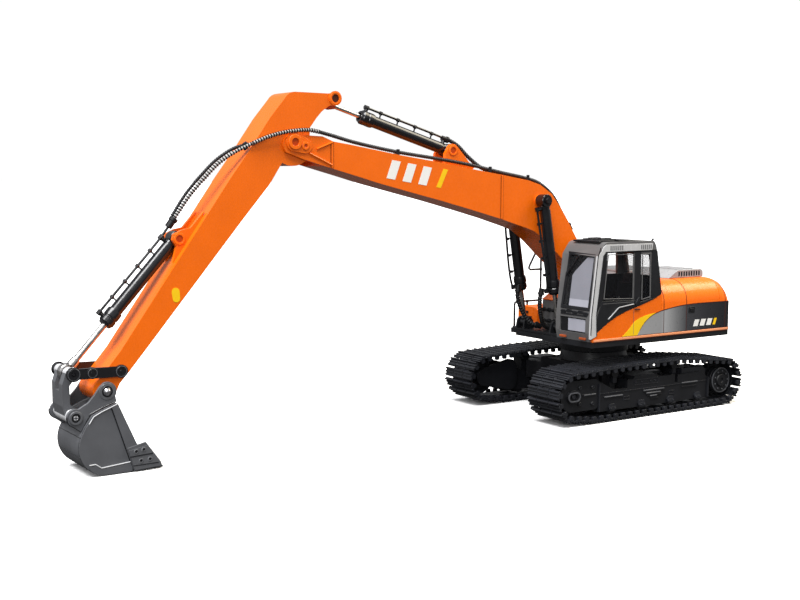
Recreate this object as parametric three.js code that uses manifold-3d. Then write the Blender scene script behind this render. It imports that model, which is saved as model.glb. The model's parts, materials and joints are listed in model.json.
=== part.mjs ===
// Radio-controlled long-arm tracked excavator, millimetres, +Z up.
// The arm points along -Y, the cab is on the +X side and the tracks stand on z = 0.
// Side views are drawn as [y, z] pairs measured from the slewing axis; the whole machine is then
// shifted along Y so that the origin lies under the middle of its outer box.
import * as THREE from 'three';
import { mergeVertices } from 'three/addons/utils/BufferGeometryUtils.js';
import Module from 'manifold-3d';

const wasm = await Module();
wasm.setup();

// ---------------------------------------------------------------- driving dimensions
const ORIGIN_SHIFT_Y = 217.5;
const GAP = 0.3;
const ROUND = 16;

const TRACK_CENTRE_X = 66;
const TRACK_WIDTH = 44;
const SHOE_COUNT = 44;
const SHOE_PLATE = 3.3;
const SHOE_LUG = 5.3;
const IDLER = { y: -101.6, z: 27, r: 19 };
const SPROCKET = { y: 101.6, z: 24.5, r: 18.9 };
const CARRIERS = [{ y: 39, z: 44.4, r: 5 }, { y: -42, z: 43.4, r: 5 }];
const LOWER_ROLLERS = [-51.7, -12.7, 26.7, 65.5];
const BELT_WHEELS = [
  { y: -78, z: 11.5, r: 6.2 },
  { y: 82, z: 11.5, r: 6.2 },
  SPROCKET,
  ...CARRIERS,
  IDLER,
];

const DECK_BOTTOM = 71.5;
const DECK_TOP = 76.5;
const HOUSE_HALF = 84.8;
const HOUSE_REAR = 110;
const HOUSE_TOP = 130;
const PLAN_ROUND = 7;
const SHOULDER_ROUND = 21;
const TAIL_ROUND = 20;
const SHELL_WALL = 3;
const SHELL_FRONT = 9.8;
const RIGHT_FRONT = 20;
const COUNTERWEIGHT_FRONT = 92;
const CAB_INNER_X = 35.5;
const CAB_WALL = 3;

const BOOM_HALF = 18.5;
const STICK_HALF = 15.6;
const BOOM_FOOT = [-14, 112];
const STICK_PIVOT = [-360.5, 259.5];
const BUCKET_PIVOT = [-528, 64.6];
const ROCKER_PIVOT = [-515, 79];
const ROCKER_TIP = [-553, 79.5];
const LINK_PIN = [-553.4, 46.5];

const BOOM_RAM = { x: 25.5, base: [-92, 208.5], end: [-71, 85], barrel: 92, radius: 5.6, rod: 2.9, eye: 3.2 };
const STICK_RAM = {
  x: 0, base: [-189, 255.2], end: [-315.5, 293], barrel: 100, radius: 5.6, rod: 2.9, eye: 3.2,
};
const BUCKET_RAM = {
  x: 0, base: [-461, 180.6], end: ROCKER_TIP, barrel: 82, radius: 5.4, rod: 2.7, eye: 3.2,
};

// ---------------------------------------------------------------- finishes
function finish(colour, roughness, metalness) {
  return new THREE.MeshStandardMaterial({ color: colour, roughness, metalness });
}
const ORANGE = finish(0xe8690f, 0.38, 0.0);
const BLACK = finish(0x1c1d1f, 0.6, 0.0);
const RUBBER = finish(0x232425, 0.8, 0.0);
const GREY = finish(0x66686c, 0.5, 0.1);
const SILVER = finish(0xb9bcc0, 0.35, 0.6);
const CHROME = finish(0xd8dadd, 0.15, 1.0);
const GLASS = finish(0x8f949b, 0.1, 0.0);
const GREEN = finish(0x1f6b3a, 0.6, 0.0);

// ---------------------------------------------------------------- solids
function solid(geometry) {
  const bare = geometry.clone();
  bare.deleteAttribute('normal');
  bare.deleteAttribute('uv');
  const merged = mergeVertices(bare, 1e-4);
  return new wasm.Manifold(new wasm.Mesh({
    numProp: 3,
    vertProperties: new Float32Array(merged.attributes.position.array),
    triVerts: new Uint32Array(merged.index.array),
  }));
}

function join(first, ...others) {
  return others.reduce((whole, part) => whole.add(part), first);
}

function cut(whole, ...tools) {
  return tools.reduce((rest, tool) => rest.subtract(tool), whole);
}

function toGeometry(body) {
  const mesh = body.getMesh();
  const geometry = new THREE.BufferGeometry();
  geometry.setAttribute('position', new THREE.BufferAttribute(new Float32Array(mesh.vertProperties), 3));
  geometry.setIndex(new THREE.BufferAttribute(new Uint32Array(mesh.triVerts), 1));
  geometry.computeVertexNormals();
  return geometry;
}

function block(x0, x1, y0, y1, z0, z1) {
  const geometry = new THREE.BoxGeometry(x1 - x0, y1 - y0, z1 - z0);
  geometry.translate((x0 + x1) / 2, (y0 + y1) / 2, (z0 + z1) / 2);
  return solid(geometry);
}

function extruded(points, depth, holes = []) {
  const shape = new THREE.Shape(points.map(([u, v]) => new THREE.Vector2(u, v)));
  for (const hole of holes) {
    shape.holes.push(new THREE.Path(hole.map(([u, v]) => new THREE.Vector2(u, v))));
  }
  return new THREE.ExtrudeGeometry(shape, { depth, bevelEnabled: false, curveSegments: ROUND });
}

// A side-view outline of [y, z] points made solid between two x planes.
function slab(points, x0, x1, holes = []) {
  const geometry = extruded(points, x1 - x0, holes);
  const sideways = new THREE.Matrix4().makeBasis(
    new THREE.Vector3(0, 1, 0), new THREE.Vector3(0, 0, 1), new THREE.Vector3(1, 0, 0));
  geometry.applyMatrix4(sideways);
  geometry.translate(x0, 0, 0);
  return solid(geometry);
}

// A front-view outline of [x, z] points made solid between two y planes.
function frontSlab(points, y0, y1) {
  const geometry = extruded(points, y1 - y0);
  geometry.rotateX(Math.PI / 2);
  geometry.translate(0, y1, 0);
  return solid(geometry);
}

// A plan outline of [x, y] points made solid between two heights.
function planSlab(points, z0, z1) {
  const geometry = extruded(points, z1 - z0);
  geometry.translate(0, 0, z0);
  return solid(geometry);
}

function arc([cu, cv], radius, fromDegrees, toDegrees, steps = 6) {
  return Array.from({ length: steps + 1 }, (_, i) => {
    const angle = THREE.MathUtils.degToRad(fromDegrees + (toDegrees - fromDegrees) * i / steps);
    return [cu + radius * Math.cos(angle), cv + radius * Math.sin(angle)];
  });
}

function disc([y, z], radius, x0, x1, segments = ROUND) {
  const geometry = new THREE.CylinderGeometry(radius, radius, x1 - x0, segments);
  geometry.rotateZ(Math.PI / 2);
  geometry.translate((x0 + x1) / 2, y, z);
  return solid(geometry);
}

// The taut outline around a list of wheels, taken anticlockwise in the side view.
function aroundWheels(wheels, grow = 0, stepDegrees = 15) {
  const count = wheels.length;
  const leave = wheels.map((wheel, i) => {
    const next = wheels[(i + 1) % count];
    const dy = next.y - wheel.y;
    const dz = next.z - wheel.z;
    return Math.atan2(dz, dy) - Math.acos((wheel.r - next.r) / Math.hypot(dy, dz));
  });
  return wheels.flatMap((wheel, i) => {
    const start = leave[(i + count - 1) % count];
    const turn = 2 * Math.PI;
    const sweep = (((leave[i] - start) % turn) + turn) % turn;
    const steps = Math.max(1, Math.ceil(THREE.MathUtils.radToDeg(sweep) / stepDegrees));
    const startDegrees = THREE.MathUtils.radToDeg(start);
    const endDegrees = startDegrees + THREE.MathUtils.radToDeg(sweep);
    return arc([wheel.y, wheel.z], wheel.r + grow, startDegrees, endDegrees, steps);
  });
}

function wheelAt([y, z], r) {
  return { y, z, r };
}

function strap(a, radiusA, b, radiusB, x0, x1) {
  return slab(aroundWheels([wheelAt(a, radiusA), wheelAt(b, radiusB)]), x0, x1);
}

// A turned profile of [distance, radius] pairs laid from one point towards another.
function turned(profile, from, towards, segments = ROUND) {
  const points = profile.map(([distance, radius]) => new THREE.Vector2(radius, distance));
  const geometry = new THREE.LatheGeometry(points, segments);
  const direction = towards.clone().sub(from).normalize();
  geometry.applyQuaternion(new THREE.Quaternion().setFromUnitVectors(new THREE.Vector3(0, 1, 0), direction));
  geometry.translate(from.x, from.y, from.z);
  return solid(geometry);
}

function bar(from, to, radius, segments = 8) {
  const a = new THREE.Vector3(...from);
  const b = new THREE.Vector3(...to);
  const length = a.distanceTo(b);
  return turned([[0, 0], [0, radius], [length, radius], [length, 0]], a, b, segments);
}

function hose(points, radius, steps) {
  const path = new THREE.CatmullRomCurve3(points.map((p) => new THREE.Vector3(...p)), false, 'centripetal');
  const section = new THREE.Shape(arc([0, 0], radius, 0, 315, 7).map(([u, v]) => new THREE.Vector2(u, v)));
  return solid(new THREE.ExtrudeGeometry(section, { steps, bevelEnabled: false, extrudePath: path }));
}

function mirrored(body) {
  return body.mirror([1, 0, 0]);
}

// ---------------------------------------------------------------- scene graph
const machine = new THREE.Group();
machine.position.y = ORIGIN_SHIFT_Y;
const groups = {};
for (const name of ['undercarriage', 'house', 'boom', 'stick', 'bucket']) {
  groups[name] = new THREE.Group();
  groups[name].name = `${name}_group`;
  machine.add(groups[name]);
}

function place(group, name, body, material) {
  const mesh = new THREE.Mesh(toGeometry(body), material);
  mesh.name = name;
  groups[group].add(mesh);
}

// Builds a part drawn on the +X side and places it on the named side.
function placeSide(group, name, side, body, material) {
  place(group, `${name}_${side}`, side === 'left' ? body : mirrored(body), material);
}

// ---------------------------------------------------------------- undercarriage
function trackBelt() {
  const fine = aroundWheels(BELT_WHEELS, 0, 6).map(([y, z]) => new THREE.Vector2(y, z));
  fine.push(fine[0].clone());
  const steps = SHOE_COUNT * 4;
  const path = new THREE.Path(fine).getSpacedPoints(steps).slice(0, steps);
  const outer = path.map((point, i) => {
    const before = path[(i + steps - 1) % steps];
    const after = path[(i + 1) % steps];
    const outward = new THREE.Vector2(after.y - before.y, before.x - after.x).normalize();
    const height = i % 4 < 2 ? SHOE_LUG : SHOE_PLATE;
    return [point.x + outward.x * height, point.y + outward.y * height];
  });
  const x0 = TRACK_CENTRE_X - TRACK_WIDTH / 2;
  return slab(outer, x0, x0 + TRACK_WIDTH, [aroundWheels(BELT_WHEELS, 0, 18)]);
}

function trackFrame() {
  const side = [
    [-69, 9.2], [81.5, 9.2], [81.5, 29.6], [71, 36], [38, 36], [38, 28.5], [34, 28.5], [34, 36.5],
    [9, 36.5], [8, 39.7], [-21, 39.7], [-23, 36.8], [-31, 36.8], [-31, 28.6], [-48.4, 29.1], [-67.7, 38.6],
    [-69, 38.6],
  ];
  const beam = [[-78, 14], [-70, 9.2], [-68, 9.2], [-68, 36], [-78, 36]];
  const ridges = [[-62, -41, 23], [43, 65, 23], [-9, 19, 22.8], [-5, 15, 19.3], [0, 11, 15.9]];
  const innerArm = aroundWheels([wheelAt([-101.6, 27], 9), wheelAt([-68, 20], 9), wheelAt([-68, 34], 9)]);
  return join(
    slab(side, 56, 81.5),
    slab(beam, 57, 77.7),
    slab(innerArm, 52, 56.2),
    ...CARRIERS.map(({ y, z }) => join(
      block(61, 72, y - 3.4, y + 3.4, 28, z), disc([y, z], 4.5, 57, 76, 12))),
    ...LOWER_ROLLERS.map((y) => join(
      disc([y, 10.2], 4.3, 57, 80, 12), block(60, 83, y - 3.2, y + 3.2, 8.2, 13.4))),
    ...ridges.map(([y0, y1, z]) => block(81, 82.4, y0, y1, z - 0.6, z + 0.6)),
  );
}

function idlerCover() {
  const plate = aroundWheels([wheelAt([-101.6, 27], 14.8), wheelAt([-74, 18.5], 6), wheelAt([-74, 35.5], 6)]);
  const ears = [[-92.8, 35], [-77, 34.4], [-93, 19.6], [-77, 18.6]];
  return cut(
    join(
      slab(plate, 78, 81.6),
      strap([-102.8, 27], 6.2, [-99.6, 27], 6.2, 81, 83.6),
      block(81, 82.6, -91, -74, 27.2, 28.6),
      ...ears.map((point) => disc(point, 1.7, 81, 82.8, 8)),
    ),
    strap([-102.4, 27], 3.4, [-100, 27], 3.4, 82, 84),
  );
}

function idlerWheel() {
  const profile = [[0, 0], [0, 3], [3, 3], [3, 9], [4, 18.3], [8, 18.3], [8, 16], [13, 16], [13, 18.3],
    [17, 18.3], [18, 9], [18, 3], [21, 3], [21, 0]];
  const centre = new THREE.Vector3(56.6, IDLER.y, IDLER.z);
  return turned(profile, centre, new THREE.Vector3(90, IDLER.y, IDLER.z), 20);
}

function driveSprocket() {
  const teeth = 12;
  const outline = Array.from({ length: teeth * 4 }, (_, i) => {
    const angle = (i + 0.5) / (teeth * 4) * 2 * Math.PI;
    const radius = i % 4 < 2 ? 18.2 : 15.6;
    return [SPROCKET.y + radius * Math.cos(angle), SPROCKET.z + radius * Math.sin(angle)];
  });
  const centre = [SPROCKET.y, SPROCKET.z];
  const bolts = Array.from({ length: 6 }, (_, i) => arc(centre, 9, i * 60, i * 60, 1)[0]);
  return join(
    slab(outline, 65, 71),
    disc(centre, 13.4, 60, 77, 20),
    disc(centre, 12, 77, 80.6, 20),
    disc(centre, 6.4, 80, 82.4, 12),
    ...bolts.map((point) => disc(point, 1.1, 80, 81.6, 6)),
  );
}

function travelMotor() {
  const housing = aroundWheels([wheelAt([101.6, 24.5], 12.4), wheelAt([88, 31], 6), wheelAt([88, 19], 6)]);
  return join(slab(housing, 50, 59.6), disc([100, 24.5], 9.5, 44.5, 51, 20));
}

function chassis() {
  const leg = [[54.8, -44], [54.8, -18], [20, -10], [20, -30]];
  const legs = [leg, leg.map(([x, y]) => [x, -y]).reverse()].flatMap((points) => {
    const one = planSlab(points.slice().reverse(), 22, 40);
    return [one, mirrored(one)];
  });
  const rim = new THREE.Vector3(0, 0, 40);
  return join(
    block(-34, 34, -42, 42, 18, 46),
    ...legs,
    turned([[0, 0], [0, 36], [15.5, 33], [15.5, 0]], rim, new THREE.Vector3(0, 0, 90), 24),
  );
}

function slewRing() {
  const profile = [[0, 20], [0, 35], [7, 35], [7, 20], [0, 20]];
  return turned(profile, new THREE.Vector3(0, 0, 55.8), new THREE.Vector3(0, 0, 90), 24);
}

function buildUndercarriage() {
  place('undercarriage', 'chassis', chassis(), BLACK);
  place('undercarriage', 'slew_ring', slewRing(), BLACK);
  for (const side of ['left', 'right']) {
    placeSide('undercarriage', 'track_frame', side, join(trackFrame(), idlerCover()), BLACK);
    placeSide('undercarriage', 'idler', side, idlerWheel(), BLACK);
    placeSide('undercarriage', 'sprocket', side, driveSprocket(), BLACK);
    placeSide('undercarriage', 'travel_motor', side, travelMotor(), BLACK);
    placeSide('undercarriage', 'track_belt', side, trackBelt(), RUBBER);
  }
}

// ---------------------------------------------------------------- house
// A flat-bottomed outline with its two upper corners rounded.
function roundedTop(half, low, high, radius) {
  return [
    [-half, low], [half, low], ...arc([half - radius, high - radius], radius, 0, 90),
    ...arc([radius - half, high - radius], radius, 90, 180),
  ];
}

// The rounded body is what its plan, front and side outlines share, each pulled in by the inset.
function houseSolid(inset) {
  const half = HOUSE_HALF - inset;
  const back = HOUSE_REAR - inset;
  const top = HOUSE_TOP - inset;
  const low = DECK_TOP + GAP - inset;
  const side = [
    [SHELL_FRONT, low], [back, low], ...arc([back - TAIL_ROUND, top - TAIL_ROUND], TAIL_ROUND, 0, 90),
    [SHELL_FRONT, top],
  ];
  return planSlab(roundedTop(half, SHELL_FRONT, back, PLAN_ROUND), low, top)
    .intersect(frontSlab(roundedTop(half, low, top, SHOULDER_ROUND), 0, HOUSE_REAR))
    .intersect(slab(side, -HOUSE_HALF, HOUSE_HALF));
}

// Everything of the body between two y planes and from an inner x plane outwards to the cab side.
function bodyBlock(x0, y0, y1) {
  return block(x0, HOUSE_HALF + 1, y0, y1, DECK_TOP - 4, HOUSE_TOP + 1);
}

function frontCorner(wall) {
  return block(-HOUSE_HALF - 1, wall - 36, 0, RIGHT_FRONT + wall, DECK_TOP - 4, HOUSE_TOP + 1);
}

function houseShell() {
  const left = -HOUSE_HALF - 1;
  const hollow = houseSolid(SHELL_WALL).subtract(join(
    bodyBlock(left, 0, SHELL_FRONT + SHELL_WALL),
    frontCorner(SHELL_WALL),
    bodyBlock(left, COUNTERWEIGHT_FRONT - SHELL_WALL, HOUSE_REAR + 1),
  ));
  const rearEnd = bodyBlock(left, COUNTERWEIGHT_FRONT, HOUSE_REAR + 1);
  return cut(houseSolid(0), frontCorner(0), rearEnd, hollow);
}

function counterweight() {
  return cut(houseSolid(0), bodyBlock(-HOUSE_HALF - 1, 0, COUNTERWEIGHT_FRONT + GAP));
}

function houseDeck() {
  const rear = HOUSE_REAR;
  const h = HOUSE_HALF;
  const plan = [
    [-30, -79], [34, -79], [34, -81.5], [h, -81.5],
    ...arc([h - PLAN_ROUND, rear - PLAN_ROUND], PLAN_ROUND, 0, 90),
    ...arc([PLAN_ROUND - h, rear - PLAN_ROUND], PLAN_ROUND, 90, 180), [-h, 2.6], [-30, 2.6],
  ];
  return join(
    planSlab(plan, DECK_BOTTOM, DECK_TOP),
    turned([[0, 0], [0, 31], [9, 31], [9, 0]], ...[63.1, 90].map((z) => new THREE.Vector3(0, 0, z)), 24),
  );
}

// The orange skirt under the cab door sweeps up from the cab's toe to the body side.
function skirtOutline(lift) {
  return [
    [-80.6, DECK_TOP + GAP], [SHELL_FRONT - GAP, DECK_TOP + GAP], [SHELL_FRONT - GAP, 118.6 + lift],
    [1.2, 114.6 + lift], [-10, 111 + lift], [-21, 108 + lift], [-35, 104.6 + lift], [-49, 100 + lift],
    [-61, 94.4 + lift], [-73, 87 + lift], [-80.6, 80.4 + lift],
  ];
}

function cabOutline() {
  return [
    [-81.3, DECK_TOP + GAP], [9, DECK_TOP + GAP], [8.6, 119], [0.6, 164.5],
    ...arc([-5, 166.2], 4.2, 30, 90, 3),
    ...arc([-63, 162.4], 8, 90, 150, 3), [-76, 158], [-82.6, 103], [-83.4, 86],
  ];
}

function cabFrame() {
  const outline = cabOutline();
  const middle = [-38, 122];
  const cavity = outline.map(([y, z]) => [
    y + Math.sign(middle[0] - y) * CAB_WALL, z + Math.sign(middle[1] - z) * CAB_WALL,
  ]);
  const doorWindow = [[-69.5, 115.4], [-28, 114], [-28, 160], [-64, 160.6]];
  const rearSideWindow = [[-20, 111.5], [-5, 114], [-6, 157], [-20, 157.6]];
  const x1 = HOUSE_HALF;
  return cut(
    slab(outline, CAB_INNER_X, x1),
    slab(cavity, CAB_INNER_X + CAB_WALL, x1 - CAB_WALL),
    slab(doorWindow, CAB_INNER_X - 1, x1 + 1),
    slab(rearSideWindow, CAB_INNER_X - 1, x1 + 1),
    frontSlab([[42.5, 108], [80.5, 108], [80.5, 157], [44.5, 159]], -90, -60),
    frontSlab([[41, 84.5], [77, 84.5], [77, 98.5], [41, 98.5]], -90, -70),
    frontSlab([[44, 118], [76, 118], [76, 156], [44, 156]], -4, 12),
    slab([...skirtOutline(GAP), [-90, 80], [-90, 70]], 81.6, 90),
    block(81.6, 90, -83, 9.5, 70, 80),
  );
}

function seat() {
  return join(
    block(50, 72, -42, -20, 84, 92),
    slab([[-24, 90], [-18, 90], [-12, 128], [-17, 129]], 51, 71),
    slab([[-16, 127], [-11.5, 127], [-10, 138], [-14, 138]], 55, 67),
    block(56, 66, -38, -24, 80.4, 85),
  );
}

function glazing() {
  const pane = 1.2;
  const lean = [[-81.6, 108.4], [-80.2, 108.4], [-74.6, 156.6], [-76, 156.6]];
  const sideX = HOUSE_HALF - 2;
  return {
    windscreen: slab(lean, 44.9, 80.1),
    door_window: slab([[-68.6, 115.8], [-28.4, 114.4], [-28.4, 159.6], [-63.8, 160.1]], sideX, sideX + pane),
    rear_window: block(44.4, 75.6, 0.4, 1.6, 118.4, 155.6),
  };
}

function roofHatch() {
  return slab([[-64, 171], [-6, 171], [-7, 173], [-38, 173], [-40, 174.4], [-62, 174.4]], 46, 76);
}

function engineHood() {
  const low = HOUSE_TOP + GAP;
  const side = [[42, low], [91.6, low], [91.6, 135.6], [89.4, 138], [55, 138], [51, 136]];
  const starts = Array.from({ length: 9 }, (_, i) => 56 + i * 3.6);
  const slots = starts.map((y) => block(60.6, 64, y, y + 2, 131.6, 136.4));
  return cut(slab(side, 12, 62), ...slots);
}

function rearHood() {
  return slab([[26, HOUSE_TOP + GAP], [91, HOUSE_TOP + GAP], [89, 134.8], [30, 134.8]], -56, 10);
}

function toolbox() {
  const face = [
    [-81.2, 71.4], [-50, 71.4], ...arc([-54, 91], 4, 0, 90, 4), ...arc([-77.2, 91], 4, 90, 180, 4),
  ];
  return frontSlab(face, -34, 1.7);
}

function sideStep() {
  return join(block(-HOUSE_HALF, -36, -41, 1.8, 66, 71.1), block(-50, -36, -30, 1.8, 66, 71.1));
}

function handrail() {
  const x = -83.2;
  const rail = 1.15;
  return join(
    bar([x, -37.5, 71.3], [x, -37.5, 99.4], rail),
    bar([x, -37.5, 98.4], [x, -1.5, 98.4], rail),
    bar([x, -1.5, 71.3], [x, -1.5, 163.4], rail),
    bar([x, -18.5, 132], [x, -1.5, 132], rail),
    bar([x, -18.5, 131.2], [x, -1.5, 163], rail),
    bar([x, -20, 71.3], [x, -20, 99], rail),
  );
}

function boomBracket() {
  const cheek = slab([[-36, 78], [8, 78], [8, 96], ...arc(BOOM_FOOT, 11, 0, 180, 8), [-30, 96]], 19.2, 22.6);
  const [lugY, lugZ] = BOOM_RAM.end;
  const lug = [[lugY - 7, 78], [lugY + 7, 78], ...arc([lugY, lugZ], 5.6, 0, 180, 6)];
  const lugs = [[19.2, 21.2], [30, 32.2]].map(([x0, x1]) => slab(lug, x0, x1));
  const half = join(cheek, ...lugs);
  return cut(
    join(block(-32.2, 32.2, -78.4, 8, DECK_TOP + GAP, 78.8), half, mirrored(half)),
    disc(BOOM_FOOT, 4.3, -40, 40),
    disc(BOOM_RAM.end, 2.1, -40, 40, 16),
  );
}

function valveCover() {
  return slab([[-60, 79.7], [-36, 79.7], [-36, 118], [-44, 118], [-60, 108]], -12, 12);
}

function internals() {
  return {
    battery_pack: [block(-58, -22, 30, 84, 77.2, 101), GREEN],
    control_board: [join(block(16, 68, 34, 82, 80, 81.8), block(24, 40, 42, 60, 81, 90)), GREEN],
    slew_motor: [turned([[0, 0], [0, 10], [34, 10], [34, 0]],
      new THREE.Vector3(0, 24, 77), new THREE.Vector3(0, 24, 120)), SILVER],
  };
}

function houseHoses() {
  const left = [[8, -66, 82.2], [10, -76, 85.4], [14, -84, 97], [17, -88, 112], [18, -86.5, 122]];
  return { boom_ram_hose_left: left, boom_ram_hose_right: left.map(([x, y, z]) => [-x, y, z]) };
}

function buildHouse() {
  place('house', 'house_deck', houseDeck(), BLACK);
  place('house', 'house_shell', houseShell(), ORANGE);
  place('house', 'counterweight', counterweight(), ORANGE);
  place('house', 'cab_skirt', slab(skirtOutline(0), 81.9, HOUSE_HALF), ORANGE);
  place('house', 'cab_frame', cabFrame(), GREY);
  for (const [name, pane] of Object.entries(glazing())) {
    place('house', name, pane, GLASS);
  }
  place('house', 'seat', seat(), BLACK);
  place('house', 'roof_hatch', roofHatch(), BLACK);
  place('house', 'engine_hood', engineHood(), SILVER);
  place('house', 'rear_hood', rearHood(), SILVER);
  place('house', 'toolbox', toolbox(), ORANGE);
  place('house', 'side_step', sideStep(), BLACK);
  place('house', 'handrail', handrail(), BLACK);
  place('house', 'boom_bracket', boomBracket(), BLACK);
  place('house', 'boom_foot_pin', disc(BOOM_FOOT, 4, -23, 23), SILVER);
  place('house', 'valve_cover', valveCover(), GREY);
  for (const [name, [body, material]] of Object.entries(internals())) {
    place('house', name, body, material);
  }
  for (const [name, points] of Object.entries(houseHoses())) {
    place('house', name, hose(points, 1.9, 12), RUBBER);
  }
}

// ---------------------------------------------------------------- hydraulic rams
function ramPoints(ram) {
  const from = new THREE.Vector3(ram.x, ...ram.base);
  const to = new THREE.Vector3(ram.x, ...ram.end);
  return { from, to, length: from.distanceTo(to) };
}

function ramBarrel(ram) {
  const { from, to } = ramPoints(ram);
  const end = ram.barrel;
  const bore = ram.radius - 1.3;
  const neck = ram.rod + GAP;
  const profile = [
    [4, 0], [4, ram.radius], [end - 11, ram.radius], [end - 10, ram.radius + 1.2], [end - 3, ram.radius + 1.2],
    [end, ram.radius], [end, neck], [end - 6, neck], [end - 6, bore], [12, bore], [12, 0],
  ];
  return cut(
    join(turned(profile, from, to), disc(ram.base, ram.eye + 3, ram.x - 5.5, ram.x + 5.5)),
    disc(ram.base, ram.eye, ram.x - 9, ram.x + 9),
  );
}

// The rod reaches back into the barrel and ends in its piston. A hole in its eye is wider than the pin in it.
function ramRod(ram, reach, eyeRadius, holeRadius = 0) {
  const { from, to, length } = ramPoints(ram);
  const piston = ram.radius - 1.3 - GAP;
  const start = ram.barrel - reach;
  const profile = [[start, 0], [start, piston], [start + 5, piston], [start + 5, ram.rod],
    [length - 2, ram.rod], [length - 2, 0]];
  const whole = join(turned(profile, from, to), disc(ram.end, eyeRadius, ram.x - 3.6, ram.x + 3.6));
  return holeRadius > 0 ? cut(whole, disc(ram.end, holeRadius, ram.x - 9, ram.x + 9)) : whole;
}

// ---------------------------------------------------------------- boom
function boomOutline() {
  return [
    ...arc([-362, 257], 8.6, 225, 90, 6), [-347, 265.3], [-333, 264.8], [-322.3, 260.6], [-306, 258.4],
    [-254, 250], [-210, 244], [-176, 238.6], [-135, 232.5], [-105, 227.7], [-90.6, 223.5], [-76, 214.8],
    [-64, 201.1], [-55.6, 189.7], [-41.7, 169.3], ...arc(BOOM_FOOT, 9.4, 40, -140, 8), [-31, 126.5], [-46, 139],
    [-63, 152.4], [-74.9, 162.8], [-86, 171.8], [-97, 178.8], [-104.2, 181.4], [-138.8, 191.6], [-175, 201],
    [-210, 209.7], [-231, 214.5], [-275, 224.9], [-298.4, 231.2], [-327, 238.6], [-351.3, 245.2],
  ];
}

function boomSolid() {
  const outline = boomOutline().reverse();
  const teardrop = strap(STICK_PIVOT, 6.6, [-350.6, 256.6], 4.6, BOOM_HALF - 0.2, 20);
  const cylinderBoss = disc(BOOM_RAM.base, 6, BOOM_HALF - 0.2, 19.6);
  const [baseY, baseZ] = STICK_RAM.base;
  const bracket = [
    [baseY - 9, baseZ - 13], [baseY - 8.6, baseZ - 3], ...arc([baseY, baseZ], 6, 170, 40, 5),
    [baseY + 12, baseZ - 3.5], [baseY + 19, baseZ - 11], [baseY + 26, baseZ - 15], [baseY + 20, baseZ - 19],
  ].reverse();
  const plate = slab(bracket, 6.2, 9.8);
  const pinHoles = [disc(STICK_PIVOT, 4.4, -24, 24), disc(BOOM_FOOT, 4.4, -24, 24),
    disc(BOOM_RAM.base, 3.3, -24, 24, 20)];
  const body = join(
    slab(outline, -BOOM_HALF, BOOM_HALF), teardrop, mirrored(teardrop), cylinderBoss, mirrored(cylinderBoss),
    plate, mirrored(plate), disc(STICK_RAM.base, 2.6, -8, 8, 16),
  );
  const stickSlot = block(-16.1, 16.1, -380, -331, 200, 300);
  return cut(body, stickSlot, ...pinHoles);
}

function boomHose() {
  return [[7, -46, 180], [7, -58, 196.5], [7, -69, 212], [7, -80, 221], [7, -92, 226.8], [7, -108, 230.6],
    [6.5, -135, 235.2], [6, -153, 239.4], [4, -168, 250], [2, -178, 259.6], [0.5, -186, 264.2], [0, -194, 266.4]];
}

function boomTopHose() {
  return [[13, -46, 180], [13, -58, 196.5], [13, -69, 212], [13, -80, 221], [13, -92, 226.8], [13, -108, 230.6],
    [13, -135, 235.2], [13, -170, 241.8], [13, -205, 246.8], [13.4, -254, 252.9], [15, -300, 260.6],
    [17.5, -322, 265.4], [18.9, -335.6, 268.2]];
}

function buildBoom() {
  place('boom', 'boom', boomSolid(), ORANGE);
  place('boom', 'stick_pin', disc(STICK_PIVOT, 4, -20, 20), ORANGE);
  place('boom', 'boom_ram_pin', disc(BOOM_RAM.base, 2.9, -32.6, 32.6), BLACK);
  place('boom', 'boom_hose', hose(boomHose(), 2, 24), RUBBER);
  place('boom', 'boom_top_hose', hose(boomTopHose(), 1.8, 26), RUBBER);
  for (const side of ['left', 'right']) {
    placeSide('boom', 'boom_ram_barrel', side, ramBarrel(BOOM_RAM), BLACK);
    placeSide('boom', 'boom_ram_rod', side, ramRod(BOOM_RAM, 62, 3.9), CHROME);
  }
  place('boom', 'stick_ram_barrel', ramBarrel(STICK_RAM), BLACK);
  place('boom', 'stick_ram_rod', ramRod(STICK_RAM, 60, 4.4), CHROME);
}

// ---------------------------------------------------------------- stick
function stickOutline() {
  return [
    [-323.8, 301.2], [-357, 301.4], ...arc([-357.5, 290], 11.4, 95, 148, 4), [-381.5, 279], [-400, 253],
    [-418.5, 228.6], [-503, 110.4], [-514, 95], [-527, 79.6], ...arc(BUCKET_PIVOT, 9.6, 130, 320, 8),
    [-515.4, 69.2], [-507, 78.4], [-490, 98.2], [-408.1, 194.6], [-382, 224.5], ...arc(STICK_PIVOT, 20, 240, 320, 6),
    [-343.5, 272], [-337, 280.5], [-331.8, 286], [-324.6, 291],
    ...arc([-319, 297.4], 6.2, -80, 60, 5),
  ];
}

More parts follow.
